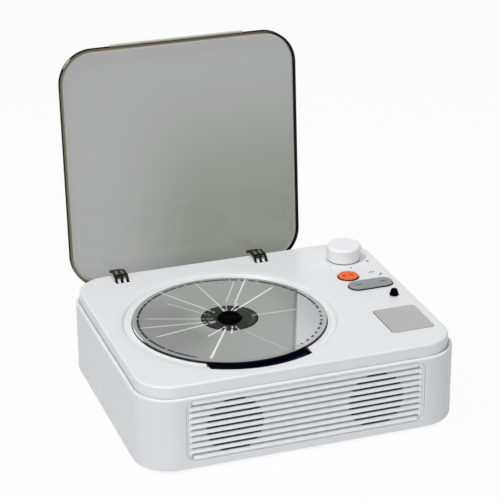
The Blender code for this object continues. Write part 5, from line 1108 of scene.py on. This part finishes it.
def controls():
    """The knob, the round button, the rocker, the domed window and the bare plate."""
    knob = [(0, 66.3), (9.9, 66.3, 1.5), (10.7, 66.0, 1.0), (11.5, 64.9, 1.4), (11.3, 62.6, 6.0),
            (10.75, 56.75, 0.25), (10.5, 56.25, 0.1), (3.0, 56.25), (3.0, 47.7, 0.3), (0, 47.7)]
    dress(raw("knob_skin", spun(knob, KNOB, 128, 5)), WHITE_KNOB, "white_plastic",
          "volume_knob", "volume")
    # A thin dark grey ring under the knob's lower edge: a painted shadow line, not a part of the
    # player.
    shadow_ring = [(3.4, 55.72), (10.7, 55.72), (10.7, 56.0, 0.1), (3.4, 56.0)]
    dress(raw("knob_shadow_ring", spun(shadow_ring, KNOB, 96, 3, True)), GREY, "grey_plastic")

    cap = [(0, 56.72), (4.4, 56.78, 8.0), (6.5, 56.9, 0.5), (6.5, 56.15), (0, 56.15)]
    dress(raw("play_skin", spun(cap, PLAY, 96, 6)), ORANGE, "orange_plastic", "play_button", "play")
    # The stem and its flange are dark so that the gap round the cap shows painted shade.
    stem = [(0, 56.15), (6.5, 56.15), (6.5, 53.4), (8.4, 53.4), (8.4, 52.2), (0, 52.2)]
    dress(raw("play_stem", spun(stem, PLAY, 96)), ORANGE_DARK, "orange_plastic", body="play")
    outlines = [wedge(68.0, 26.7, 2.4), bar(71.4, 26.7, 0.75, 2.6), bar(72.9, 26.7, 0.75, 2.6)]
    marks("play_marks", outlines, 56.6, 56.82, ORANGE_INK, "orange_plastic", body="play")

    stadium = growing(14.75, 6.0, 5.99, 20, ROCKER)
    dress(raw("rocker_skin", slab(stadium, 56.3, 57.1, 0.45, False, 5)), GREY, "grey_plastic",
          "skip_rocker", "skip")
    # The stem is near black so that the gap round the rocker shows painted shade.
    stem = slab(lambda g: stadium(g - 0.05), 51.9, 56.3)
    foot = round_box((76.0, 3.1, 51.9), (82.0, 17.5, 53.1))
    dress(raw("rocker_stem", stem, foot), GREY_INK_AND_SHADE, "grey_plastic", body="skip")
    y = ROCKER[1]
    outlines = [wedge(71.6, y, 1.6, -1), wedge(70.2, y, 1.6, -1), bar(69.0, y, 0.45, 1.7),
                wedge(86.8, y, 1.6), wedge(88.2, y, 1.6), bar(89.4, y, 0.45, 1.7)]
    marks("rocker_marks", outlines, 57.05, 57.13, GREY_INK_AND_SHADE, "grey_plastic", body="skip")

    eye = [(0, 60.2), (1.7, 60.2, 1.4), (2.5, 57.8, 1.5), (2.9, 56.6, 0.3), (2.9, 56.0, 0.1),
           (1.9, 56.0), (1.9, 46.9), (0, 46.9)]
    dress(raw("eye_skin", spun(eye, EYE, 64, 10)), BLACK, "black_plastic", "ir_receiver")
    badge = growing(13.9, 16.3, 2.2, 8, BADGE)
    dress(raw("badge_skin", slab(badge, 55.4, 56.0, 0.18)), SILVER, "silver_plate", "badge_plate")


# Feet, screws and sockets

def underside():
    """The feet with their ring, and the screws with a cross in the head."""
    foot = [(0, 0.25), (3.4, 0.25, 0.2), (3.7, 0.0, 0.1), (6.0, 0.0, 0.45), (6.0, 2.2, 0.1),
            (0, 2.2)]
    screw = filleted(
        [(0, 39.0), (0.5, 39.0), (1.15, 38.0, 0.1), (1.15, 19.7), (2.7, 19.7, 0.1),
         (2.7, 18.5, 0.6), (1.6, 17.9, 0.8), (0, 17.9)],
        4,
    )
    for i, (sy, sx) in enumerate(CORNERS, 1):
        dress(raw(f"foot_skin_{i}", spun(foot, (sx * FOOT[0], sy * FOOT[1]), 64, 4)), RUBBER,
              "black_rubber", f"foot_{i}")
        head = raw(f"screw_skin_{i}", turned(screw, 32))
        change(
            head, "DIFFERENCE",
            round_box((-1.5, -0.3, 17.5), (1.5, 0.3, 18.9), 0.1, 0.05, 2),
            round_box((-0.3, -1.5, 17.5), (0.3, 1.5, 18.9), 0.1, 0.05, 2),
        )
        head.data.transform(Matrix.Translation((sx * SCREW[0] * MM, sy * SCREW[1] * MM, 0)))
        dress(head, STEEL, "steel", f"case_screw_{i}")


def sockets():
    """The inlet with its tongue, and the headphone jack with its ring."""
    shell = growing(4.5, 1.65, 1.25, 8, USB)
    rings = [
        upright(shell(grow), y)
        for grow, y in ((0, 75.2), (0, 83.05), (-0.12, 83.2), (-0.3, 83.2), (-0.4, 83.05),
                        (-0.4, 77.2))
    ]
    dress(raw("usb_skin", loft(rings)), STEEL, "steel", "usb_socket")
    tongue = round_box((31.0, 77.0, 11.2), (37.0, 82.2, 11.9), 0.3, 0.15)
    dress(raw("usb_tongue", tongue), BLACK_PLASTIC, "black_plastic")
    jack = raw("jack_skin", round_box((52.7, 69.0, 9.9), (59.3, 80.95, 16.5), 0.5, 0.3))
    change(jack, "DIFFERENCE", loft([upright(circle(2.85, 40, JACK), y) for y in (70.3, 82.0)]))
    dress(jack, BLACK_PLASTIC, "black_plastic", "headphone_jack")
    rings = [
        upright(circle(radius, 40, JACK), y)
        for radius, y in ((1.8, 70.4), (1.8, 82.9), (2.0, 83.2), (2.75, 83.2), (2.9, 83.05),
                          (2.9, 81.0), (2.9, 70.2), (0.1, 70.2))
    ]
    dress(raw("jack_ring", loft(rings)), STEEL, "steel")


# The works keep their CAD shapes, with better materials

def works():
    """Gives a finish to each CAD node that still shows."""
    def both(piece):
        return [f"{piece}_left", f"{piece}_right"]

    finishes = (
        (BLACK_PLASTIC, ["mech_chassis", "play_switch", "prev_switch", "next_switch"]),
        (STEEL, ["spindle_motor", "motor_shaft", "sled_motor", "volume_pot", *both("sled_rail"),
                 *both("speaker_basket"), *both("speaker_magnet")]),
        (STEEL, [f"damper_screw_{i}" for i in (1, 2, 3)]),
        (RUBBER, [f"damper_{i}" for i in (1, 2, 3)]),
        (NYLON, ["laser_sled", "reduction_gear"]),
        (metal("brass", (0.70, 0.52, 0.22), 0.3), ["motor_pinion"]),
        (BOARD, ["main_pcb", "control_pcb"]),
        (WRAP, ["battery_pack"]),
        (PAPER, both("speaker_cone")),
        (WIRE, ["battery_wire", *both("speaker_wire")]),
    )
    for material, nodes in finishes:
        for node in nodes:
            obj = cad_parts[node]
            if not obj.material_slots:
                obj.data.materials.append(material)
            for place in obj.material_slots:
                place.material = material


# The stage: floor, world, lamps and camera

def background(n, shown):
    """This much for camera, glossy and transmission rays, and nothing for the others."""
    light = n.add("ShaderNodeLightPath").outputs
    kinds = [light[f"Is {kind} Ray"] for kind in ("Camera", "Glossy", "Transmission")]
    return n.times(n.most(*kinds), shown)


def blend(n, factor, first, second, output):
    """Mixes two shaders into the tree's output."""
    given = {0: factor, 1: first.outputs[0], 2: second.outputs[0]}
    node = n.add("ShaderNodeMixShader", given)
    n.feed(n.tree.nodes[output].inputs["Surface"], node.outputs[0])


def light_up(n, node, colour, strength):
    """Sets the colour and strength of a shader that gives light."""
    n.feed(node.inputs["Color"], (*colour, 1.0))
    n.feed(node.inputs["Strength"], strength)
    return node


def lamp(name, where, target, size, power, colour):
    """A soft rectangular lamp aimed at a point, in metres."""
    data = bpy.data.lights.new(name, "AREA")
    data.shape = "RECTANGLE"
    data.size, data.size_y = size
    data.energy = power
    data.color = colour
    obj = bpy.data.objects.new(name, data)
    obj.location = where
    obj.rotation_mode = "QUATERNION"
    obj.rotation_quaternion = (Vector(where) - Vector(target)).to_track_quat("Z", "Y")
    bpy.context.scene.collection.objects.link(obj)
    return obj


def stage():
    """A white floor that keeps a faint shadow, a white world and soft lamps."""
    white = (1.0, 1.0, 1.0)
    far = 6000
    corners = [(-far, -far), (far, -far), (far, far), (-far, far)]
    floor = raw("floor", (level(corners, 0), [(0, 1, 2, 3)]))
    n = Nodes("floor_white")
    n.set(Base_Color=(0.80, 0.80, 0.80), Roughness=0.9, Specular_IOR_Level=0.1)
    contact = n.add("ShaderNodeAmbientOcclusion", {"Distance": 0.0016}, samples=12)
    shown = n.times(background(n, 0.95), n.spread(contact.outputs["AO"], 0.55, 0.88))
    glow = light_up(n, n.add("ShaderNodeEmission"), white, 1.0)
    blend(n, shown, n.shader, glow, "Material Output")
    floor.data.materials.append(n.material)

    world = bpy.data.worlds.new("studio")
    bpy.context.scene.world = world
    n = Nodes(world)
    dim = light_up(n, n.tree.nodes["Background"], (0.97, 0.985, 1.0), 0.15)
    bright = light_up(n, n.add("ShaderNodeBackground"), white, 1.0)
    blend(n, background(n, 1.0), dim, bright, "World Output")

    top = lamp("top_light", (0.04, -0.08, 1.2), (0.0, 0.05, 0.05), (1.0, 0.5), 5.6, white)
    top.visible_glossy = False
    lamp("key_light", (-0.45, -0.14, 1.1), (0.0, 0.0, 0.05), (0.12, 0.12), 4.8, white)
    lamp("left_light", (-1.25, -0.45, 0.75), (0.0, 0.0, 0.03), (0.9, 0.9), 1.3, (0.96, 0.98, 1.0))
    lamp("front_light", (-0.45, -1.28, 0.3), (0.0, 0.0, 0.03), (0.9, 0.4), 5.3, (1.0, 0.995, 0.99))


def camera():
    """The camera at the photograph's angle, fitted to its edges and corners."""
    around, above, roll = math.radians(-19.31), math.radians(23.59), math.radians(-0.33)
    distance, aim_x, aim_z = 1188.8, -5.63, 87.87
    focal_pixels, picture_pixels, sensor = 1880.0, 500.0, 36.0
    flat = Vector((math.sin(around), -math.cos(around), 0.0)) * math.cos(above)
    back = flat + Vector((0.0, 0.0, math.sin(above)))
    right = Vector((math.cos(around), math.sin(around), 0.0))
    up = back.cross(right)
    target = right * aim_x + up * aim_z
    turned_right = right * math.cos(roll) + up * math.sin(roll)
    turned_up = back.cross(turned_right)
    data = bpy.data.cameras.new("camera")
    data.sensor_width = sensor
    data.lens = focal_pixels / picture_pixels * sensor
    data.clip_start, data.clip_end = 0.05, 50.0
    obj = bpy.data.objects.new("camera", data)
    rows = Matrix((turned_right, turned_up, back)).transposed().to_4x4()
    obj.matrix_world = Matrix.Translation((target + back * distance) * MM) @ rows
    bpy.context.scene.collection.objects.link(obj)
    bpy.context.scene.camera = obj


for build in (lower_shell, top_deck, deck_marks, grille, disc_tray, turntable, lid, hinges,
              controls, underside, sockets, works, stage, camera):
    build()
bpy.context.scene.view_settings.view_transform = "Standard"
